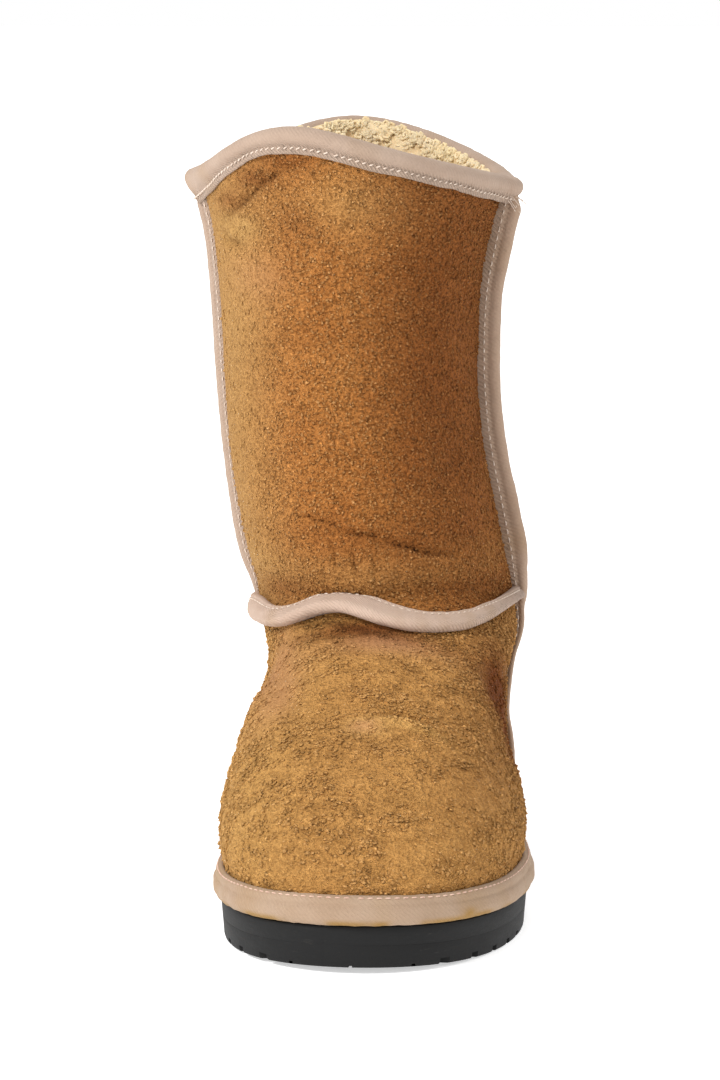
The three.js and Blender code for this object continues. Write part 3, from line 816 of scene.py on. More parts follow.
# The join of vamp and shaft waves across the instep: each wave lifts it, in millimetres, at a part of
# the way from the lateral to the medial seam.
instepWave = [
    {"part": 0, "lift": -3, "spread": 0.12},
    {"part": 0.26, "lift": -6, "spread": 0.09},
    {"part": 0.44, "lift": 13, "spread": 0.105},
    {"part": 0.7, "lift": -5.5, "spread": 0.12},
    {"part": 1, "lift": 5, "spread": 0.12},
]


# The waves' bells added up.
def instepLift(part):
    return sum(wave["lift"] * bell(part, wave["part"], wave["spread"]) for wave in instepWave)


# How wide the instep tape lies, against its usual width: it spreads where it rises.
def instepSpread(part):
    rising = 0.85 * bell(part, 0.465, 0.115)
    hook = 0.42 * bell(part, 0.16, 0.09)
    return 1.02 + rising + hook - 0.15 * bell(part, 1, 0.12)


seamEnds = [float(seamAngle(np.float64(seamStep), side)) for side in (-1, 1)]
seamReach = np.linspace(*seamEnds, 60)
seamPerStep = skinFrame(seamReach, seamStep)["perStep"]


# How far an angle lies along the join, from 0 at its lateral end to 1 at its medial end.
def seamPart(angle):
    return (angle - seamEnds[0]) / (seamEnds[1] - seamEnds[0])


# Steps near the join follow its waves.
def waved(angle, step):
    near = 1 - smooth(np.abs(step - seamStep), 0, 1.8)
    return step + near * instepLift(seamPart(angle)) / np.interp(angle, seamReach, seamPerStep)


# Steps of a panel's rows, its edges at the side seams, and the shares that space its columns.
def panelPlaces(panel, rowCount, columnCount):
    steps = evenSteps(panel["low"], panel["high"], rowCount, np.pi if panel["back"] else 0)
    lateral, medial = seamAngle(steps, -1), seamAngle(steps, 1)
    first, last = (medial, lateral + 2 * np.pi) if panel["back"] else (lateral, medial)
    middle = rowCount // 3
    return steps, first, last, evenShares(columnCount, steps[middle], first[middle], last[middle])


# The outside of a panel with its relief and nap, and the painted layers there.
def panelSkin(panel, angle, step):
    at = skinFrame(angle, step if panel["back"] else waved(angle, step))
    facing = 0 if panel["back"] else np.clip(-at["normal"][..., 1] * 1.6, 0, 1)
    nap = panel["nap"](at["point"])
    rise = panel["relief"](at["point"], angle, step, facing) + nap
    layers = panel["paint"](at["point"], angle, step)
    # hollow is painted shade: darker in the nap's dips, and along the creases where the panel faces the
    # front.
    layers["hollow"] = np.clip(-nap * 1.7, -0.5, 1) + layers.pop("crease", 0) * facing
    return at, at["point"] + at["normal"] * rise[..., None], layers


# A panel: a grid of such points from seam to seam, and from its low step to its high one.
def addPanel(panel):
    rowCount, columnCount = panel["grid"]
    steps, first, last, shares = panelPlaces(panel, rowCount, columnCount)
    angle = between(first[:, None], last[:, None], shares)
    points, layers = panelSkin(panel, angle, np.broadcast_to(steps[:, None], angle.shape))[1:]
    addMesh(panel["name"], points.reshape(-1, 3), gridFaces(rowCount, columnCount), panel["material"],
            ("upper",), layers=layers)


# Scattered places on a panel: one in each cell of a fine grid, kept as often as the cell's area and
# the panel's cover there ask for.
def scatterPlaces(panel):
    rowCount, columnCount = panel["cells"]
    steps, first, last, shares = panelPlaces(panel, rowCount, columnCount)
    shape = (rowCount - 1, columnCount - 1)
    row = np.arange(shape[0])[:, None] + random.uniform(0, 1, shape)
    column = np.arange(shape[1]) + random.uniform(0, 1, shape)
    rows = np.arange(rowCount)
    step = np.interp(row, rows, steps)
    share = np.interp(column, np.arange(columnCount), shares)
    angle = between(np.interp(row, rows, first), np.interp(row, rows, last), share)
    at = skinFrame(angle, step)
    cellHeight = at["perStep"] * np.diff(steps)[:, None]
    cellWidth = at["perRadian"] * (last - first)[:-1, None] * np.diff(shares)
    cover = panel["cover"](at["point"], angle, step)
    keep = random.uniform(0, 1, shape) < cellHeight * cellWidth * panel["density"] * cover
    return angle[keep], step[keep]


# Tufts of nap: small crumbs with five corners round their middle, a tip that leans with the nap and
# a foot that is sunk in the skin. Sizes are shares of a panel's usual tuft, and the rest are shares
# of each tuft's own size. A higher rarity makes large tufts fewer.
tuftShape = {
    "least": 0.55, "range": 1.05, "rarity": 1.8, "narrow": 0.62, "middle": 0.1, "low": 0.24, "high": 0.5,
    "sunk": 0.35, "stray": 0.16, "hang": 0.12,
}


def addTufts(panel):
    angle, step = scatterPlaces(panel)
    at, points, layers = panelSkin(panel, angle, step)
    count = len(points)
    normal = at["normal"]
    aside = unit(np.cross(at["up"], normal))
    turn = random.normal(0, panel["turn"], count)[:, None]
    longWay = np.cos(turn) * aside + np.sin(turn) * at["up"]
    shortWay = np.cross(normal, longWay)
    spread = random.uniform(0, 1, count) ** tuftShape["rarity"]
    size = panel["tuft"] * (tuftShape["least"] + tuftShape["range"] * spread)[:, None]
    corner = np.arange(5) / 5 * 2 * np.pi
    reach = random.uniform(0.7, 1.3, (count, 5)) * size / 2
    ring = (points[:, None] + (np.cos(corner) * reach)[..., None] * longWay[:, None]
            + (np.sin(corner) * reach * tuftShape["narrow"])[..., None] * shortWay[:, None]
            + normal[:, None] * size[..., None] * tuftShape["middle"])
    lean = random.normal(0, tuftShape["stray"], (2, count, 1)) * size
    height = random.uniform(tuftShape["low"], tuftShape["high"], (count, 1))
    down = tuftShape["hang"] * size + lean[1]
    tip = points + normal * size * height + lean[0] * aside - down * at["up"]
    foot = points - normal * tuftShape["sunk"] * size
    verts = np.concatenate([ring, tip[:, None], foot[:, None]], axis=1)
    here = np.arange(5)
    onward = (here + 1) % 5
    upper = np.stack([here, onward, np.full(5, 5)], -1)
    lower = np.stack([onward, here, np.full(5, 6)], -1)
    faces = (np.arange(count)[:, None, None] * 7 + np.concatenate([upper, lower])).reshape(-1, 3)
    layers = {key: np.repeat(np.broadcast_to(values, count)[:, None], 7, axis=1)
              for key, values in layers.items()}
    # The tip value paints a highlight: 0 at each tuft's foot, 0.45 round its middle and a random value at
    # its tip.
    tipShade = random.uniform(0.5, 1.3, (count, 1))
    layers["tip"] = np.concatenate([np.full((count, 5), 0.45), tipShade, np.zeros((count, 1))], axis=1)
    addMesh(panel["name"] + "_tufts", verts.reshape(-1, 3), faces, panel["material"],
            ("upper",), layers=layers)


# Nap of the shaft: short and even, with small pits.
def shaftNap(points):
    fine = layeredNoise(points, (2.4, 2.4, 2), 2, 3)
    pits = np.maximum(0, softNoise(points, 1.9, 9) - 0.35)
    return 0.1 * fine - 0.3 * pits


# Places where the vamp is worn smooth.
def vampWorn(points):
    patches = smooth(layeredNoise(points, 24, 2, 41), 0, 0.6) * 0.6
    placed = spots(points[..., (0, 1)], [
        (8, -134, 17, 8, 1), (20, -205, 15, 12, 0.6), (-31, -148, 10, 24, 0.9), (-37, -118, 8, 16, 0.8)])
    return np.clip(np.maximum(patches, placed), 0, 1)


# Nap of the vamp: flat coarse clumps, worn smooth in patches.
def vampNap(points):
    clumps = layeredNoise(points, (4.4, 3.8, 2.4), 3, 21)
    return 0.25 * clumps * (1 - 0.7 * vampWorn(points))


# How much of a panel the tufts cover, from 0 to 1: less on bald patches and along its creases.
def shaftCover(points, angle, step):
    plane = points[..., (0, 2)]
    patches = 0.5 * smooth(layeredNoise(points, (16, 16, 22), 2, 141), 0.15, 0.7)
    bald = 0.9 * smooth(-np.sin(angle), 0.5, 0.92) + spots(plane, [
        (-14, 250, 14, 9, 0.8), (-42, 222, 10, 14, 0.5), (26, 196, 7, 22, 0.5), (-46, 176, 8, 40, 0.4)])
    return 1 - np.clip(patches + bald + foldShade(plane, shaftFolds), 0, 0.9)


def vampCover(points, angle, step):
    sparse = 0.75 * (1 - smooth(layeredNoise(points, (9, 7, 7), 2, 161), -0.3, 0.25))
    creases = foldShade(points[..., (0, 1)], vampFolds)
    return 1 - np.clip(sparse + 0.85 * vampWorn(points) + creases, 0, 0.92)


def backCover(points, angle, step):
    return 1 - 0.5 * smooth(layeredNoise(points, 20, 2, 151), 0, 0.6)


# Relief of a panel over the skin, in millimetres: soft swells that are held down along its seams,
# and its folds where it faces the front. The shaft also sags over the instep.
def shaftRelief(points, angle, step, facing):
    soft = 1.0 * layeredNoise(points, (38, 38, 52), 2, 51)
    above = step - seamStep
    sag = 1.6 * bell(above, 0.9, 0.7) * facing
    held = smooth(above, 0, 0.8) * smooth(collarStep - step, 0, 1.2)
    return (soft + sag) * held + facing * foldRelief(points[..., (0, 2)], shaftFolds)


def vampRelief(points, angle, step, facing):
    soft = 0.8 * layeredNoise(points, (34, 40, 30), 2, 61)
    up = np.clip(1.3 - np.abs(angle) * 0.5, 0, 1)
    held = smooth(step, 1, 2.4) * smooth(seamStep - step, 0, 0.6)
    return soft * held + up * foldRelief(points[..., (0, 1)], vampFolds)


# Side seams by step, for scattered places.
seamSteps = np.linspace(0, collarStep, 300)
seamAngles = {side: seamAngle(seamSteps, side) for side in (-1, 1)}


def backRelief(points, angle, step, facing):
    soft = 1.0 * layeredNoise(points, (40, 40, 46), 2, 71)
    medial, lateral = (np.interp(step, seamSteps, seamAngles[side]) for side in (1, -1))
    edge = np.minimum(np.abs(angle - medial), np.abs(angle - lateral - 2 * np.pi))
    return soft * smooth(edge, 0, 0.35) * smooth(step, 1, 2.4) * smooth(collarStep - step, 0, 1.2)


# The shadow close over the instep tape: in its lateral hollow, and past its rise.
def overBand(angle, step):
    part = seamPart(angle)
    above = step - seamStep - 0.24 * instepSpread(part)
    hollow = 0.9 * bell(part, 0.2, 0.06) * bell(above, 0.05, 0.16)
    return hollow + 0.7 * bell(part, 0.68, 0.13) * bell(above, 0.02, 0.09)


# Painted values of a panel, from 0 to 1 and more: painted light, painted shade, bare places, and painted
# shade in creases.
def shaftPaint(points, angle, step):
    plane = points[..., (0, 2)]
    side = np.sin(angle)
    return {
        # Painted light on the lateral side, and painted highlights in spots near the collar and above the
        # instep tape.
        "light": 0.85 * smooth(-side, 0.25, 0.97) + spots(plane, [
            (-10, 254, 26, 12, 0.5), (-45, 215, 14, 40, 0.2), (-10, 118, 40, 8, 0.4),
            (-54, 244, 8, 5, 0.5)]),
        # Painted shade on the medial side, under the collar and its folds, and in spots lower on the shaft.
        "dark": 0.7 * smooth(side, 0, 0.8) * (1 - 0.5 * bell(points[..., 2], 118, 24)) + spots(plane, [
            (4, 132, 34, 8, 0.3), (-47, 263, 9, 4.5, 0.6), (-57, 254, 7, 4, 0.5), (-33, 270, 12, 3, 0.5),
            (-30, 248, 9, 6, 0.3), (8, 190, 22, 40, 0.15), (28, 112, 20, 4, 0.3), (-36, 111, 11, 6, 0.5)]),
        "bare": spots(plane, [(-46, 226, 12, 9, 0.3)]),
        # Painted shade in the creases and beside the instep tape.
        "crease": foldShade(plane, shaftFolds) + overBand(angle, step),
    }


# The shadow line close under the instep tape, deepest where the join rises.
def underBand(angle, step):
    part = seamPart(angle)
    below = seamStep - step - 0.26 * instepSpread(part)
    line = 1.5 * bell(part, 0.4, 0.13) * bell(below, 0, 0.07)
    return line + 0.5 * bell(part, 0.55, 0.2) * bell(below, 0.03, 0.12)


def vampPaint(points, angle, step):
    plane = points[..., (0, 1)]
    low = 1 - smooth(step, 0.4, 2.2)
    medial = smooth(points[..., 0], 20, 56) * smooth(step, 2.2, 4.5)
    # Painted shade in the recess on the medial side, added to the creases' shade.
    recess = spots(plane, [(50, -124, 4, 13, 0.5)])
    return {
        # Pale over the whole vamp and paler towards the lateral side, which is painted light, with painted
        # highlights along the ridge below the crease.
        "light": 0.65 + 0.35 * smooth(-points[..., 0], 0, 44) + spots(plane, [
            (5, -184, 7, 4.5, 1), (18, -180, 13, 2.2, 0.7)]),
        # Painted shade: a little towards the sole, on the medial side, under the instep tape, in the medial
        # recess and in the lateral dent.
        "dark": 0.06 * low + 0.3 * medial + spots(plane, [
            (-4, -121, 26, 4, 0.8), (7, -128, 22, 5, 0.8), (46, -118, 12, 22, 0.4), (49, -122, 6, 16, 0.6),
            (-38, -118, 8, 20, 0.2)]),
        "bare": spots(plane, [
            (7, -132, 20, 7, 0.7), (-31, -146, 9, 22, 0.6), (-37, -118, 8, 16, 0.5), (4, -184, 6, 4, 0.6)]),
        "crease": foldShade(plane, vampFolds) + underBand(angle, step) + recess,
    }


def backPaint(points, angle, step):
    lateral = smooth(-points[..., 0], -10, 50)
    nearMedial = 1 - smooth(np.abs(angle - np.interp(step, seamSteps, seamAngles[1])), 0, 0.6)
    return {
        # Painted light towards the lateral side, and painted shade near the medial seam and towards the
        # sole.
        "light": 0.35 + 0.3 * lateral - 0.3 * nearMedial,
        "dark": 0.2 * (1 - lateral) + 0.35 * nearMedial + 0.2 * (1 - smooth(step, 0.4, 2.2)),
        "bare": spots(points[..., (0, 2)], [(-4, 60, 22, 14, 0.3)]),
    }


# Nap of the back: the vamp's at the foot, which turns into the shaft's.
def backNap(points):
    return between(vampNap(points), shaftNap(points), smooth(points[..., 2], 60, 110))


# Each panel runs from its low step to its high one, at the front or at the back. grid and cells are
# rows and columns of the panel and of its scattered tufts, density is tufts in a square millimetre,
# tuft their usual size and turn how far they stray from lying across the boot, in radians.
vampPanel = {
    "name": "suede_vamp", "low": 0.3, "high": seamStep + 0.1, "back": False, "grid": (150, 250),
    "material": vampSuede, "relief": vampRelief, "nap": vampNap, "paint": vampPaint, "cover": vampCover,
    "cells": (200, 250), "density": 0.5, "tuft": 1.6, "turn": 0.5,
}
shaftPanel = {
    "name": "suede_shaft_front", "low": seamStep - 0.08, "high": collarStep, "back": False,
    "grid": (170, 150), "material": shaftSuede, "relief": shaftRelief, "nap": shaftNap,
    "paint": shaftPaint, "cover": shaftCover,
    "cells": (160, 130), "density": 0.5, "tuft": 1.3, "turn": 1.2,
}
backPanel = {
    "name": "suede_back", "low": 0.3, "high": collarStep, "back": True, "grid": (150, 110),
    "material": shaftSuede, "relief": backRelief, "nap": backNap, "paint": backPaint, "cover": backCover,
    "cells": (190, 110), "density": 0.26, "tuft": 1.35, "turn": 0.9,
}
for panel in (vampPanel, shaftPanel, backPanel):
    addPanel(panel)
    addTufts(panel)
print("suede made")


# Fleece

# Lumps of the lining: the roots of two noises' sizes make round tufts with valleys between them.
def woolLumps(points):
    big = softNoise(points, 7.5, 81)
    small = softNoise(points, 3.4, 83)
    return 1.6 * np.sqrt(np.abs(big) + 0.02) + 0.9 * np.sqrt(np.abs(small) + 0.02)


# The lining covers the inside of the upper from the insole up. Its crown rises inside the collar tape
# to the rim: crown holds the length down from the rim, the depth behind the skin, and the share of
# the lumps. Even rows follow for some length, in which the pile gets thinner from its full depth, and
# the rest are spaced out down to the insole.
lining = {
    "around": 300, "high": 112, "crownRows": 14, "evenRows": 37, "evenLength": 30,
    "full": 9.5, "thinner": 2.6, "thin": 6.9, "lump": 1.6, "lowStep": 0.9,
    "crown": [
        (2.2, 5.4, 0), (0.9, 5.7, 0.2), (-0.1, 6.4, 0.5), (-0.5, 7.4, 0.8), (-0.2, 8.4, 1), (0.8, 9.2, 1),
        (2.2, 9.5, 1),
    ],
}


def addLining():
    around = lining["around"]
    angle = np.linspace(0, 2 * np.pi, around, endpoint=False)
    dense = throughValues(lining["crown"], lining["crownRows"])
    below = lining["crown"][-1][0] + lining["evenLength"] * np.linspace(0, 1, lining["evenRows"] + 1)[1:]
    top = stepBelowCollar(angle, np.full(around, below[-1]))
    left = lining["high"] - lining["crownRows"] - lining["evenRows"]
    rest = between(lining["lowStep"], top, np.linspace(1, 0, left)[1:, None] ** 0.8)
    lengths = (*dense[:, 0], *below)
    nearSteps = np.stack([stepBelowCollar(angle, np.full(around, max(0, length))) for length in lengths])
    step = np.concatenate([nearSteps, rest])
    down = np.concatenate([dense[:, 0], below, np.full(len(rest), 40)])[:, None]
    thinning = lining["full"] - lining["thinner"] * smooth(below, 3, 24)
    depth = np.concatenate([dense[:, 1], thinning, np.full(len(rest), lining["thin"])])[:, None]
    share = np.concatenate([dense[:, 2], np.ones(len(below) + len(rest))])[:, None]
    angle = np.broadcast_to(angle, step.shape)
    at = skinFrame(angle, step)
    lumps = woolLumps(at["point"])
    rise = (lumps - lining["lump"]) * share
    points = at["point"] - at["normal"] * (depth + rise)[..., None]
    points = points + at["up"] * np.maximum(0, -down + 0.6 * rise * (down < 1))[..., None]
    # The tip value paints shade into the valleys between the lumps.
    tip = 0.15 + 0.85 * smooth(lumps, 0.8, 2.2)
    faces = gridFaces(len(step), around, loopColumns=True)
    addMesh("fleece_lining", points.reshape(-1, 3), faces, fleece, ("upper",),
            layers={"tip": tip})


# Curls of wool: tapered helices that stand up from their roots and bend over to one side.
def curlTubes(roots, normals, length, spread, thickness, rings=7):
    count = len(roots)
    side = unit(np.cross(normals, random.normal(size=(count, 3))))
    other = np.cross(normals, side)
    reach = np.linspace(0, 1, rings)
    turns = random.uniform(0.7, 1.7, (count, 1))
    start = random.uniform(0, 2 * np.pi, (count, 1))
    grow = length * random.uniform(0.7, 1.25, (count, 1))
    coil = spread * random.uniform(0.6, 1.3, (count, 1)) * np.sin(np.pi * (0.15 + 0.75 * reach))
    lean = random.uniform(0.2, 1, (count, 1)) * reach ** 1.6 * grow
    turn = start + turns * 2 * np.pi * reach
    centres = (roots[:, None]
               + normals[:, None] * (grow * (reach - 0.35 * reach ** 2))[..., None]
               + side[:, None] * (coil * np.cos(turn) + lean)[..., None]
               + other[:, None] * (coil * np.sin(turn))[..., None])
    radii = thickness / 2 * random.uniform(0.8, 1.3, (count, 1)) * (1 - 0.6 * reach ** 3)
    tubes = tubesAround(centres, radii, normals[:, None] + 0.3 * side[:, None])
    # The tip value is lowest at each curl's root, which paints shade there.
    tip = np.broadcast_to((0.25 + 0.85 * reach)[None, :, None], tubes.shape[:3])
    return tubes, tip


def addCurls(name, roots, normals, curl, node):
    tubes, tip = curlTubes(roots, normals, curl["length"], curl["spread"], curl["thickness"])
    faces = tubeFaces(len(tubes), tubes.shape[1])
    addMesh(name, tubes.reshape(-1, 3), faces, fleece, (node,), layers={"tip": tip})


# Curls stand thickest along the rim and thin out down the lining. A few peek out over the lateral
# end of the collar.
liningCurls = {"count": 1450, "peeking": 60, "reach": 30, "length": 1.8, "spread": 1.5, "thickness": 1.6}


def addLiningCurls():
    count, peeking = liningCurls["count"], liningCurls["peeking"]
    angle = random.uniform(0, 2 * np.pi, count)
    down = 0.6 + liningCurls["reach"] * random.uniform(0, 1, count) ** 1.8
    angle[:peeking] = seamAngles[-1][-1] + random.normal(0, 0.07, peeking)
    down[:peeking] = random.uniform(-0.6, 0.6, peeking)
    step = stepBelowCollar(angle, np.maximum(down, 0))
    at = skinFrame(angle, step)
    depth = 8.4 - lining["thinner"] * smooth(down, 3, 24)
    depth[:peeking] = random.uniform(3.5, 7, peeking)
    roots = at["point"] - at["normal"] * depth[:, None] + at["up"] * np.maximum(0, -down)[:, None]
    inward = unit(at["up"] * 0.35 - at["normal"])
    addCurls("fleece_curls", roots, inward, liningCurls, "upper")


# The footbed's pile: lumps that end at its edge, with curls all over.
insole = {
    "across": 64, "along": 150, "lump": 1.2,
    "curls": {"count": 380, "length": 4.2, "spread": 1.3, "thickness": 1.3},
}


# Points of the footbed's top: across runs from -1 to 1 between the two sides at an angle.
def insoleSurface(angle, across):
    ends = []
    for turned in (-angle, angle):
        side = skinFrame(turned, np.zeros(angle.shape))
        ends.append(side["point"] - unit(side["normal"] * (1, 1, 0)) * wall)
    points = between(ends[0], ends[1], (across[..., None] + 1) / 2)
    points[..., 2] = soleTop(points[..., 1]) + fit + insoleThickness
    return points


def addInsole():
    wide, long = insole["across"], insole["along"]
    across, angle = np.meshgrid(np.linspace(-1, 1, wide), np.linspace(0, np.pi, long))
    points = insoleSurface(angle, across)
    lumps = woolLumps(points)
    points[..., 2] += (lumps - insole["lump"]) * (1 - smooth(np.abs(across), 0.9, 1))
    # Its tip value paints shade between the lumps.
    addMesh("insole_fleece", points.reshape(-1, 3), gridFaces(long, wide), fleece, ("insole",),
            layers={"tip": smooth(lumps, 0.9, 2)})
    count = insole["curls"]["count"]
    angle = random.uniform(0.1, np.pi - 0.1, count)
    across = random.uniform(-0.85, 0.85, count)
    roots = insoleSurface(angle, across)
    upright = np.broadcast_to(np.array([0, 0, 1.0]), roots.shape)
    addCurls("insole_curls", roots, upright, insole["curls"], "insole")


addLining()
addLiningCurls()
addInsole()
print("fleece made")


# Tapes

# A closed sweep: points has the shape stations, section, 3, with both ends capped.
def addSweep(name, points, material, node, dirt, hem):
    stations, count = points.shape[:2]
    flat = points.reshape(-1, 3)
    sides = gridFaces(stations, count, loopColumns=True)
    ends = np.concatenate([capFaces(0, count)[:, ::-1], capFaces((stations - 1) * count, count)])
    faces = np.concatenate([sides, ends])
    turned = outward(flat, faces)
    u = runLengths(points[:, 0], False)
    v = runLengths(points[stations // 2], True)
    uvs = gridUvs(v, u, stations, count, loopColumns=True)[:, ::-1]
    if turned is not faces:
        uvs = uvs.reshape(-1, 4, 2)[:, ::-1].reshape(-1, 2)
    uvs = np.concatenate([uvs, np.zeros((len(ends) * 4, 2))])
    shape = points.shape[:2]
    layers = {"dirt": np.broadcast_to(dirt, shape), "hem": np.broadcast_to(hem, shape)}
    addMesh(name, flat, turned, material, (node,), uvs, layers)


# A tube that closes round the boot: points has the shape section, around, 3, and u and v are lengths
# round the boot and round the section.
def addRing(name, points, material, node, u, v, layers):
    rows, count = points.shape[:2]
    uvs = gridUvs(u, v, rows, count, True, True)
    addMesh(name, points.reshape(-1, 3), gridFaces(rows, count, True, True), material,
            (node,), uvs, layers)


# Stitches at an even pitch along a line, each turned to the side that normals give it.
def addStitchLine(name, line, normals, sewing, material, loop=False, slant=0.0):
    if loop:
        line, normals = (np.concatenate([values, values[:1]]) for values in (line, normals))
    at = evenPlaces(line, sewing["pitch"], sewing["margin"])
    ways = sampleRun(np.gradient(line, axis=0), at)
    if slant:
        ways = unit(ways) + (0, 0, slant)
    addStitches(name, sampleRun(line, at), sampleRun(normals, at), ways, material,
                sewing["length"], sewing["thickness"])


# The collar tape. Its section runs down the skin from the rim and out from it, from the hem outside
# over the rolled rim to the inside. The rim runs out over both side tapes by its spout and rises
# there by its swell, in millimetres, each as a bell with a spread in radians.
collar = {
    "around": 640, "rows": 44,
    "spout": {"medial": 3.6, "lateral": 2.6, "spread": 0.12},
    "swell": {"medial": 0.5, "lateral": 3.4, "spread": 0.42},
    "sewing": {
        "down": 5, "out": 1.45, "slant": 0.55, "pitch": 2.7, "margin": 0, "length": 1.7, "thickness": 0.6,
    },
    "section": [
        (6.7, 0.25), (7, 0.7), (6.9, 1.2), (6.2, 1.5), (5.2, 1.45), (4.4, 1.3), (3.8, 1.8), (2.9, 2.8),
        (1.8, 3.3), (0.6, 3.2), (-0.7, 2.4), (-1.7, 0.8), (-2.1, -1.4), (-1.9, -3.4), (-0.9, -5.2),
        (0.8, -6), (3, -6.1), (5.6, -6), (7.1, -5.9), (7.4, -5.2), (6, -4.4), (2, -4.3), (1, -2), (2, -0.2),
        (5, 0.1),
    ],
}


# The point a length down from the rim and out from the skin, with the spout and the swell.
def collarPoint(angle, down, out):
    step = stepBelowCollar(angle, np.maximum(down, 0))
    at = skinFrame(angle, step)
    rise = np.maximum(-down, 0)
    for side, key in ((1, "medial"), (-1, "lateral")):
        seam = seamAngle(np.float64(collarStep), side)
        away = (angle - seam + np.pi) % (2 * np.pi) - np.pi
        swell = collar["swell"][key] * bell(away, 0, collar["swell"]["spread"])
        rise = rise + swell * (1 - smooth(down, 1, 5)) * smooth(out, -7, 0)
        reach = collar["spout"][key] * bell(away, 0, collar["spout"]["spread"]) * smooth(out, -6, 1)
        out = out + reach * (1 - 0.5 * smooth(down, 4, 9))
    return at["point"] + at["normal"] * out[..., None] + at["up"] * rise[..., None]


def addCollar():
    count, rows, sewing = collar["around"], collar["rows"], collar["sewing"]
    angle = np.linspace(0, 2 * np.pi, count, endpoint=False)
    rim = skinPoint(angle, collarStep)
    section = throughValues(collar["section"], rows)
    down, out = (np.broadcast_to(section[:, k][:, None], (rows, count)).copy() for k in (0, 1))
    outside = smooth(section[:, 0], 2, 6.5)[:, None] * (section[:, 1] > 0)[:, None]
    wave = layeredNoise(rim, 15, 2, 91)
    lift = np.maximum(0, layeredNoise(rim, 9, 2, 93))
    down += outside * 0.55 * wave
    out += outside * 0.7 * lift + 0.4 * layeredNoise(rim, 11, 3, 95) * (section[:, 1] > 1)[:, None]
    points = collarPoint(np.broadcast_to(angle, down.shape), down, out)
    points += unit(points - points.mean(0)) * (0.12 * softNoise(points, 2.2, 97))[..., None]
    dirt = np.broadcast_to(0.15 * smooth(wave, 0.1, 0.8), down.shape)
    hem = smooth(section[:, 0], 3.2, 4.4)[:, None] * (section[:, 1] > 0)[:, None]
    addRing("collar_binding", points, collarTape, "collar_tape", runLengths(rim, True),
            runLengths(points[:, 0], True), {"dirt": dirt, "hem": np.broadcast_to(hem, down.shape)})
    line = collarPoint(angle, sewing["down"] + 0.4 * wave, sewing["out"] + 0.5 * lift)
    normals = skinFrame(angle, stepBelowCollar(angle, np.full(count, 5.5)))["normal"]
    addStitchLine("collar_stitches", line, normals, sewing, thread, True, sewing["slant"])


# Loose threads at the collar's medial end: curves that wander off the tape, each step adding to the
# way of the last one.
looseThreads = {"count": 7, "rings": 10, "radius": 0.17}


def addLooseThreads():
    count, rings = looseThreads["count"], looseThreads["rings"]
    angle = seamAngles[1][-1] + random.uniform(-0.1, 0.03, count)
    roots = collarPoint(angle, random.uniform(3.5, 6.5, count), np.full(count, 1.2))
    steps = random.normal(0, 0.45, (count, rings, 3)) + (0.5, -0.35, -0.5)
    centres = roots[:, None] + np.cumsum(np.cumsum(steps, axis=1) * 0.08 + steps * 0.15, axis=1)
    radii = np.full((count, rings), looseThreads["radius"])
    tubes = tubesAround(centres, radii, np.array([0.2, 0.9, 0.4]))
    addMesh("collar_threads", tubes.reshape(-1, 3), tubeFaces(count, rings), thread, ())


addCollar()
addLooseThreads()


# The side tapes stand up from their seams. Their section holds the share of the width across it, from
# the front to the back, and the share of the height out from it. A flat front edge lies on the suede
# of the shaft: hem is its width in millimetres on the lateral (-1) and on the medial side (1).
sideTapes = {
    "stations": 380, "rows": 30, "endDown": 3, "hem": {-1: 6.2, 1: 0.5},
    "sewing": {"across": 0.43, "out": 0.3, "pitch": 3.3, "margin": 3, "length": 2, "thickness": 0.5},
    "section": [
        (-0.3, -0.25), (-0.42, 0.06), (-0.4, 0.36), (-0.34, 0.43), (-0.46, 0.54), (-0.54, 0.72),
        (-0.46, 0.92), (-0.16, 1.03), (0.16, 1.03), (0.46, 0.92), (0.54, 0.72), (0.46, 0.54),
        (0.34, 0.43), (0.4, 0.36), (0.42, 0.06), (0.3, -0.25),
    ],
}


# A side tape's height, which eases from its share at the foot to the whole on the shaft.
def sideHeight(step, side):
    full = medialTapeRise if side > 0 else lateralTapeRise
    low, high = seamStep - tapeTaper["below"], seamStep + tapeTaper["above"]
    return full * between(footTapeShare, 1, smooth(step, low, high))


# The point across and out from a side seam. The lateral tape folds back as it stands out.
def sidePlace(side, step, across, out):
    angle = seamAngle(step, side)
    fold = 0 if side > 0 else lateralTapeFold
    back = across * sideTapeWidth + fold * np.maximum(0, out)
    perRadian = skinFrame(angle, step)["perRadian"]
    return offsetPoint((angle[:, None] + side * back / perRadian[:, None]), step[:, None], out)


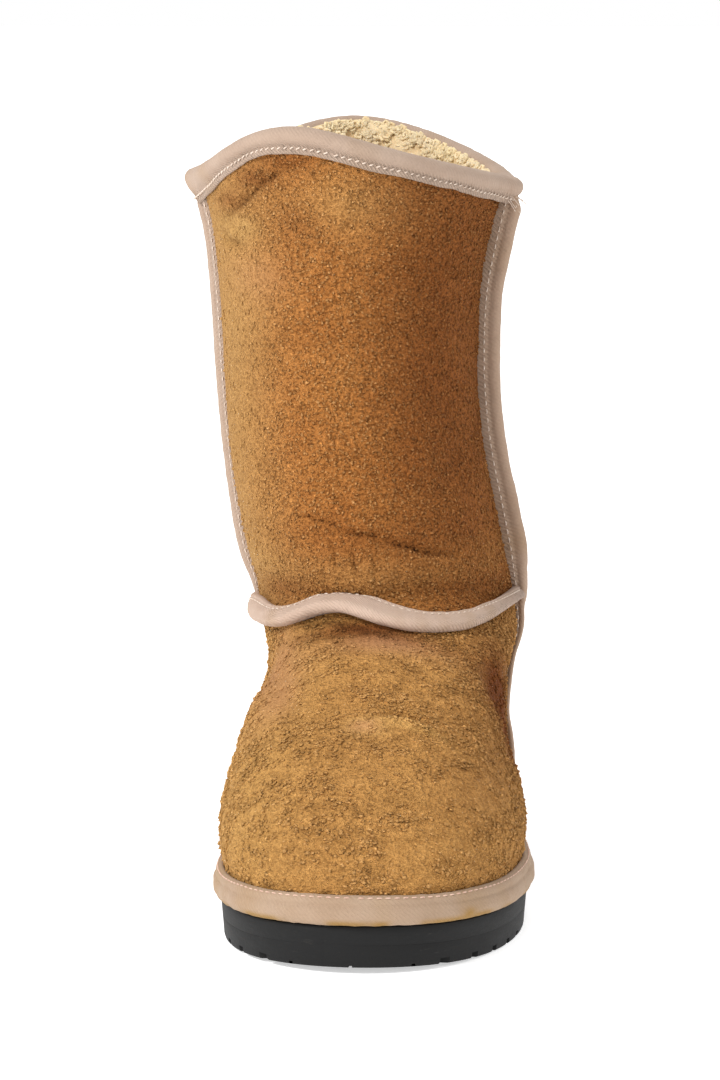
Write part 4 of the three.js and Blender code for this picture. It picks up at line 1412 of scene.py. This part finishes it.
def addSide(name, side, node, material):
    stations, rows, sewing = sideTapes["stations"], sideTapes["rows"], sideTapes["sewing"]
    seam = np.array([seamAngle(np.float64(collarStep), side)])
    top = stepBelowCollar(seam, np.array([float(sideTapes["endDown"])]))[0]
    steps = evenSteps(1, top, stations, side * np.pi / 2)
    line = skinPoint(seamAngle(steps, side), steps)
    section = throughValues(sideTapes["section"], rows)
    wave = layeredNoise(line, 16, 2, 101)
    height = sideHeight(steps, side) * (1 + 0.06 * wave) * (1 - 0.35 * smooth(steps, top - 0.35, top))
    across = np.broadcast_to(section[:, 0], (stations, rows)) * (1 + 0.1 * softNoise(line, 8, 103))[:, None]
    across = across + 0.12 * (wave * smooth(height, 2, 6))[:, None] * np.maximum(0, section[:, 1])
    out = section[:, 1] * height[:, None]
    above = smooth(steps, seamStep - 0.6, seamStep + 0.8)[:, None]
    hemShift = sideTapes["hem"][side] / sideTapeWidth * above
    across = across - hemShift * (section[:, 0] < 0) * (1 - smooth(section[:, 1], 0.4, 0.5))
    points = sidePlace(side, steps, across, out)
    points += 0.1 * softNoise(points, 2.4, 105)[..., None]
    hem = 0.6 * (1 - smooth(section[:, 1], 0.42, 0.56)) * (section[:, 1] > 0.02)
    addSweep(name, points, material, node, 0.2 * smooth(wave, 0, 1)[:, None], hem)
    for face, label in ((-1, "front"), (1, "back")):
        rise = sewing["out"] * height[:, None]
        place = face * sewing["across"] - hemShift * (face < 0)
        stitchLine = sidePlace(side, steps, place, rise)[:, 0]
        inner = sidePlace(side, steps, place - face * sewing["across"], 0.5 * rise)[:, 0]
        addStitchLine(name + "_stitches_" + label, stitchLine, stitchLine - inner, sewing, thread)


# The medial tape takes the darker tape copy, which is painted shade.
addSide("side_binding_medial", 1, "side_tape_medial", shadedSideTape)
addSide("side_binding_lateral", -1, "side_tape_lateral", collarTape)


# The instep tape lies over the join of vamp and shaft. Its section holds the share of the width up
# from the join and the share of the rise from the skin. overlap is how far its ends reach past the
# side seams, as a share of its length.
instepBand = {
    "stations": 300, "rise": 4.8, "overlap": 0.004,
    "sewing": {"up": 0.2, "out": 0.78, "pitch": 3, "margin": 4, "length": 1.7, "thickness": 0.5},
    "section": [
        (-0.42, 0.1), (-0.52, 0.35), (-0.53, 0.7), (-0.44, 0.98), (-0.26, 1.08), (-0.05, 1), (0.12, 0.86),
        (0.24, 0.7), (0.34, 0.72), (0.44, 0.6), (0.5, 0.35), (0.47, 0), (0.2, -0.1), (-0.2, -0.1),
    ],
}


# The angle at a part of the way across the front, from one side tape to the other.
def frontAngle(part, step):
    ends = []
    for side in (-1, 1):
        angle = seamAngle(step, side)
        ends.append(angle - side * sideTapeWidth / 4 / skinFrame(angle, step)["perRadian"])
    return between(ends[0], ends[1], part)


# The point up from the join by its lift and a share of the tape's width, and out from the skin.
def instepPlace(part, lift, across, out):
    middle = np.full(part.shape, seamStep)
    perStep = skinFrame(frontAngle(part, middle), middle)["perStep"]
    step = seamStep + (lift[:, None] + across * instepTapeWidth) / perStep[:, None]
    return offsetPoint(frontAngle(np.broadcast_to(part[:, None], step.shape), step), step, out)


def addInstep():
    stations, rise, sewing = instepBand["stations"], instepBand["rise"], instepBand["sewing"]
    part = np.linspace(-instepBand["overlap"], 1 + instepBand["overlap"], stations)
    middle = np.full(stations, seamStep)
    line = skinPoint(frontAngle(part, middle), middle)
    lift = instepLift(part) + 0.5 * layeredNoise(line, 20, 2, 111)
    height = rise * between(0.85, 1, np.sin(np.pi * np.clip(part, 0.001, 0.999)) ** 0.35)
    section = throughValues(instepBand["section"] + instepBand["section"][:1], 35)[:-1]
    flare = layeredNoise(line, 11, 2, 113)
    wide = instepSpread(part) + 0.07 * flare
    across = section[:, 0] * wide[:, None]
    height = height * (1 + 0.2 * bell(part, 0.42, 0.16))
    out = section[:, 1] * height[:, None] + 0.3 * (flare * height / rise)[:, None] * (section[:, 1] > 0.3)
    out = out + 1.5 * bell(part, 0.4, 0.15)[:, None] * smooth(-section[:, 0], 0.2, 0.45)
    points = instepPlace(part, lift, across, out)
    points += 0.12 * softNoise(points, 2.6, 115)[..., None]
    hem = 0.25 + 0.9 * smooth(part, 0.7, 0.86)[:, None] * np.ones(section.shape[0])
    dirt = 0.25 * smooth(flare, 0.2, 1)[:, None]
    addSweep("instep_binding", points, instepTape, "instep_tape", dirt, hem)
    up = (sewing["up"] * wide)[:, None]
    stitchLine = instepPlace(part, lift, up, sewing["out"] * height[:, None])[:, 0]
    inner = instepPlace(part, lift, 0.8 * up, np.zeros((stations, 1)))[:, 0]
    addStitchLine("instep_stitches", stitchLine, stitchLine - inner, sewing, thread)


addInstep()


# The welt tape. Its section holds the height over the sole's top and the length out from the skin,
# from the sole's edge up to the rolled top edge and back down behind it. stain is one brown spot, by
# its angle, its spread in radians and its strength.
welt = {
    "around": 760, "stain": {"angle": 0.684, "spread": 0.05, "strength": 0.9},
    "sewing": {"high": 9.7, "out": 2.4, "pitch": 3.1, "margin": 0, "length": 2.1, "thickness": 0.5},
    "section": [
        (0.35, 0.5), (0.3, 3), (0.35, 5.2), (1.1, 6.1), (2.6, 6.35), (4.4, 5.9), (5.9, 5.0), (6.7, 4.1),
        (7.3, 3.9), (8.2, 3.7), (9.3, 2.9), (10.1, 1.8), (10.4, 0.8), (9.8, 0.1), (6, 0.1), (2.5, 0.15),
    ],
}


# The point at a height between the first two sections, moved out level from the skin.
def weltPlace(angle, height, out):
    foot = skinFrame(angle, np.zeros(angle.shape))
    above = skinFrame(angle, np.ones(angle.shape))
    share = height / weltTapeHeight
    point = between(foot["point"], above["point"], share[..., None])
    level = unit(foot["normal"] * (1, 1, 0))
    return point + level * out[..., None]


def addWelt():
    count, sewing, stain = welt["around"], welt["sewing"], welt["stain"]
    angle = np.linspace(0, 2 * np.pi, count, endpoint=False)
    line = skinPoint(angle, 0.0)
    section = throughValues(welt["section"] + welt["section"][:1], 39)[:-1]
    high, far = section[:, 0][:, None], section[:, 1][:, None]
    wave = layeredNoise(line, 22, 2, 121)
    height = high * (1 + 0.05 * wave)
    out = far + 0.25 * layeredNoise(line, 9, 2, 123) * smooth(far, 1, 4)
    points = weltPlace(np.broadcast_to(angle, height.shape), height, out)
    points += 0.12 * softNoise(points, 2.4, 125)[..., None]
    glue = (1 - smooth(high, 1, 3)) * smooth(layeredNoise(line, 9, 2, 127), -0.7, 0.3)
    spot = bell(angle, stain["angle"], stain["spread"]) * stain["strength"] * (1 - smooth(high, 2, 6))
    grime = 0.3 * smooth(layeredNoise(line, 18, 2, 129), 0.1, 0.9)
    addRing("welt_binding", points, weltTape, "welt_tape", runLengths(line, True),
            runLengths(points[:, 0], True), {"dirt": glue + spot + grime, "hem": np.zeros(glue.shape)})
    line = weltPlace(angle, sewing["high"] * (1 + 0.05 * wave), np.full(count, sewing["out"]))
    normals = unit(skinFrame(angle, np.zeros(count))["normal"] * (1, 1, 0)) + (0, 0, 0.5)
    addStitchLine("welt_stitches", line, normals, sewing, weltThread, True)


addWelt()
print("tapes made")


# Outsole: a side wall with a rounded foot and a moulded line round it. Its section holds the share of
# the height from the floor side up, and how far it is drawn in. Grooves cross the floor side in the
# tread's ranges, which are shares of the length, and notches are cut in under the toe.
outsole = {
    "around": 420, "sharp": 38, "treads": ((0.03, 0.25), (0.54, 0.95)), "grooves": 22, "grooveShare": 0.8,
    "notches": 2, "notchFrom": 0.95, "notchReach": 0.05, "notchWidth": 0.2, "notchShare": 0.2,
    "section": [
        (0.0, 2.6), (0.0, 1.6), (0.02, 1.25), (0.07, 1.05), (0.3, 0.8), (0.52, 0.5), (0.545, 0.62),
        (0.57, 0.45), (0.8, 0.15), (0.93, 0.05), (0.98, 0.35), (1.0, 0.9),
    ],
}


def addOutsole():
    count = outsole["around"]
    angle = np.linspace(0, 2 * np.pi, count, endpoint=False)
    rings = []
    for share, inset in outsole["section"]:
        x, y = planPoint(outlineRow(inset), angle)
        rings.append(np.stack([x, y, between(soleBottom(y), soleTop(y), share)], -1))
    points = np.concatenate(rings)
    sides = gridFaces(len(rings), count, loopColumns=True)
    faces = np.concatenate([sides, capFaces(0, count)[:, ::-1], capFaces((len(rings) - 1) * count, count)])
    sole = addMesh("outsole_rubber", points, outward(points, faces), rubber, ("outsole",))
    cutter = cutterBoxes(treadBoxes())
    cut = sole.modifiers.new("tread", "BOOLEAN")
    cut.operation = "DIFFERENCE"
    cut.solver = "EXACT"
    cut.use_self = True
    cut.object = cutter
    made = bpy.data.meshes.new_from_object(sole.evaluated_get(bpy.context.evaluated_depsgraph_get()))
    sole.modifiers.clear()
    sole.data = made
    made.set_sharp_from_angle(angle=math.radians(outsole["sharp"]))
    bpy.data.objects.remove(cutter)


# Middle and half sizes of the boxes that the grooves and notches are cut with.
def treadBoxes():
    boxes = []
    for k in range(-outsole["grooves"], outsole["grooves"] + 1):
        y = (k + 0.5) * groovePitch
        if any(low < alongOf(y) < high for low, high in outsole["treads"]):
            depth = grooveDepth * outsole["grooveShare"]
            boxes.append((0, y, float(soleBottom(y)), ballWidth, grooveWidth / 2, depth))
    length = outsole["notchReach"] * soleLength
    tipHeight = float(soleBottom(yOf(1)))
    for k in range(-outsole["notches"], outsole["notches"] + 1):
        boxes.append((forefootSwing + k * toeNotchPitch, yOf(outsole["notchFrom"]) - length, tipHeight,
                      grooveWidth * outsole["notchWidth"], length, grooveDepth * outsole["notchShare"]))
    return boxes


def cutterBoxes(boxes):
    corners = np.array([(x, y, z) for z in (-1, 1) for y in (-1, 1) for x in (-1, 1)], float)
    sides = np.array([(0, 2, 3, 1), (4, 5, 7, 6), (0, 1, 5, 4), (2, 6, 7, 3), (0, 4, 6, 2), (1, 3, 7, 5)])
    points = np.concatenate([corners * box[3:] + box[:3] for box in boxes])
    faces = np.concatenate([sides + 8 * k for k in range(len(boxes))])
    mesh = bpy.data.meshes.new("tread_cutter")
    mesh.from_pydata(points * 1e-3, [], faces)
    cutter = bpy.data.objects.new("tread_cutter", mesh)
    bpy.context.scene.collection.objects.link(cutter)
    return cutter


addOutsole()
print("outsole made")


# Stage, light and camera, in metres. The floor glows a little, so that the light leaves only a faint
# shadow where the boot stands.
floorStage = {"reach": 30, "colour": (246, 246, 246), "glow": 0.52}
keyLight = {"place": (-1.1, -1.4, 1.5), "target": (0, -0.06, 0.14), "size": 0.5, "power": 32}
studio = {"strength": 1.0}
lens = {"length": 146, "sensor": 36, "place": (0.17, -1.6896, 0.335), "tilt": 82.72, "turn": 6.33}


def addFloor():
    mesh = bpy.data.meshes.new("floor")
    reach = floorStage["reach"]
    corners = [(-reach, -reach, 0), (reach, -reach, 0), (reach, reach, 0), (-reach, reach, 0)]
    mesh.from_pydata(corners, [], [(0, 1, 2, 3)])
    floor = bpy.data.objects.new("floor", mesh)
    bpy.context.scene.collection.objects.link(floor)
    finish = Finish("floor_white", 0.9)
    finish.set("Base Color", linear(*floorStage["colour"]))
    finish.set("Emission Color", (1, 1, 1, 1))
    finish.set("Emission Strength", floorStage["glow"])
    mesh.materials.append(finish.material)


def addLight(name, lamp):
    light = bpy.data.lights.new(name, "AREA")
    light.size = lamp["size"]
    light.energy = lamp["power"]
    holder = bpy.data.objects.new(name, light)
    holder.location = lamp["place"]
    way = Vector(lamp["target"]) - Vector(lamp["place"])
    holder.rotation_euler = way.to_track_quat("-Z", "Y").to_euler()
    bpy.context.scene.collection.objects.link(holder)


def addWorld():
    world = bpy.data.worlds.new("studio")
    world.use_nodes = True
    background = world.node_tree.nodes["Background"]
    background.inputs["Color"].default_value = (1, 1, 1, 1)
    background.inputs["Strength"].default_value = studio["strength"]
    bpy.context.scene.world = world
    bpy.context.scene.view_settings.view_transform = "Standard"


def addCamera():
    camera = bpy.data.objects.new("camera", bpy.data.cameras.new("camera"))
    camera.data.lens = lens["length"]
    camera.data.sensor_width = lens["sensor"]
    camera.location = lens["place"]
    camera.rotation_euler = (math.radians(lens["tilt"]), 0, math.radians(lens["turn"]))
    bpy.context.scene.collection.objects.link(camera)
    bpy.context.scene.camera = camera


addFloor()
addLight("key", keyLight)
addWorld()
addCamera()
print("stage made")
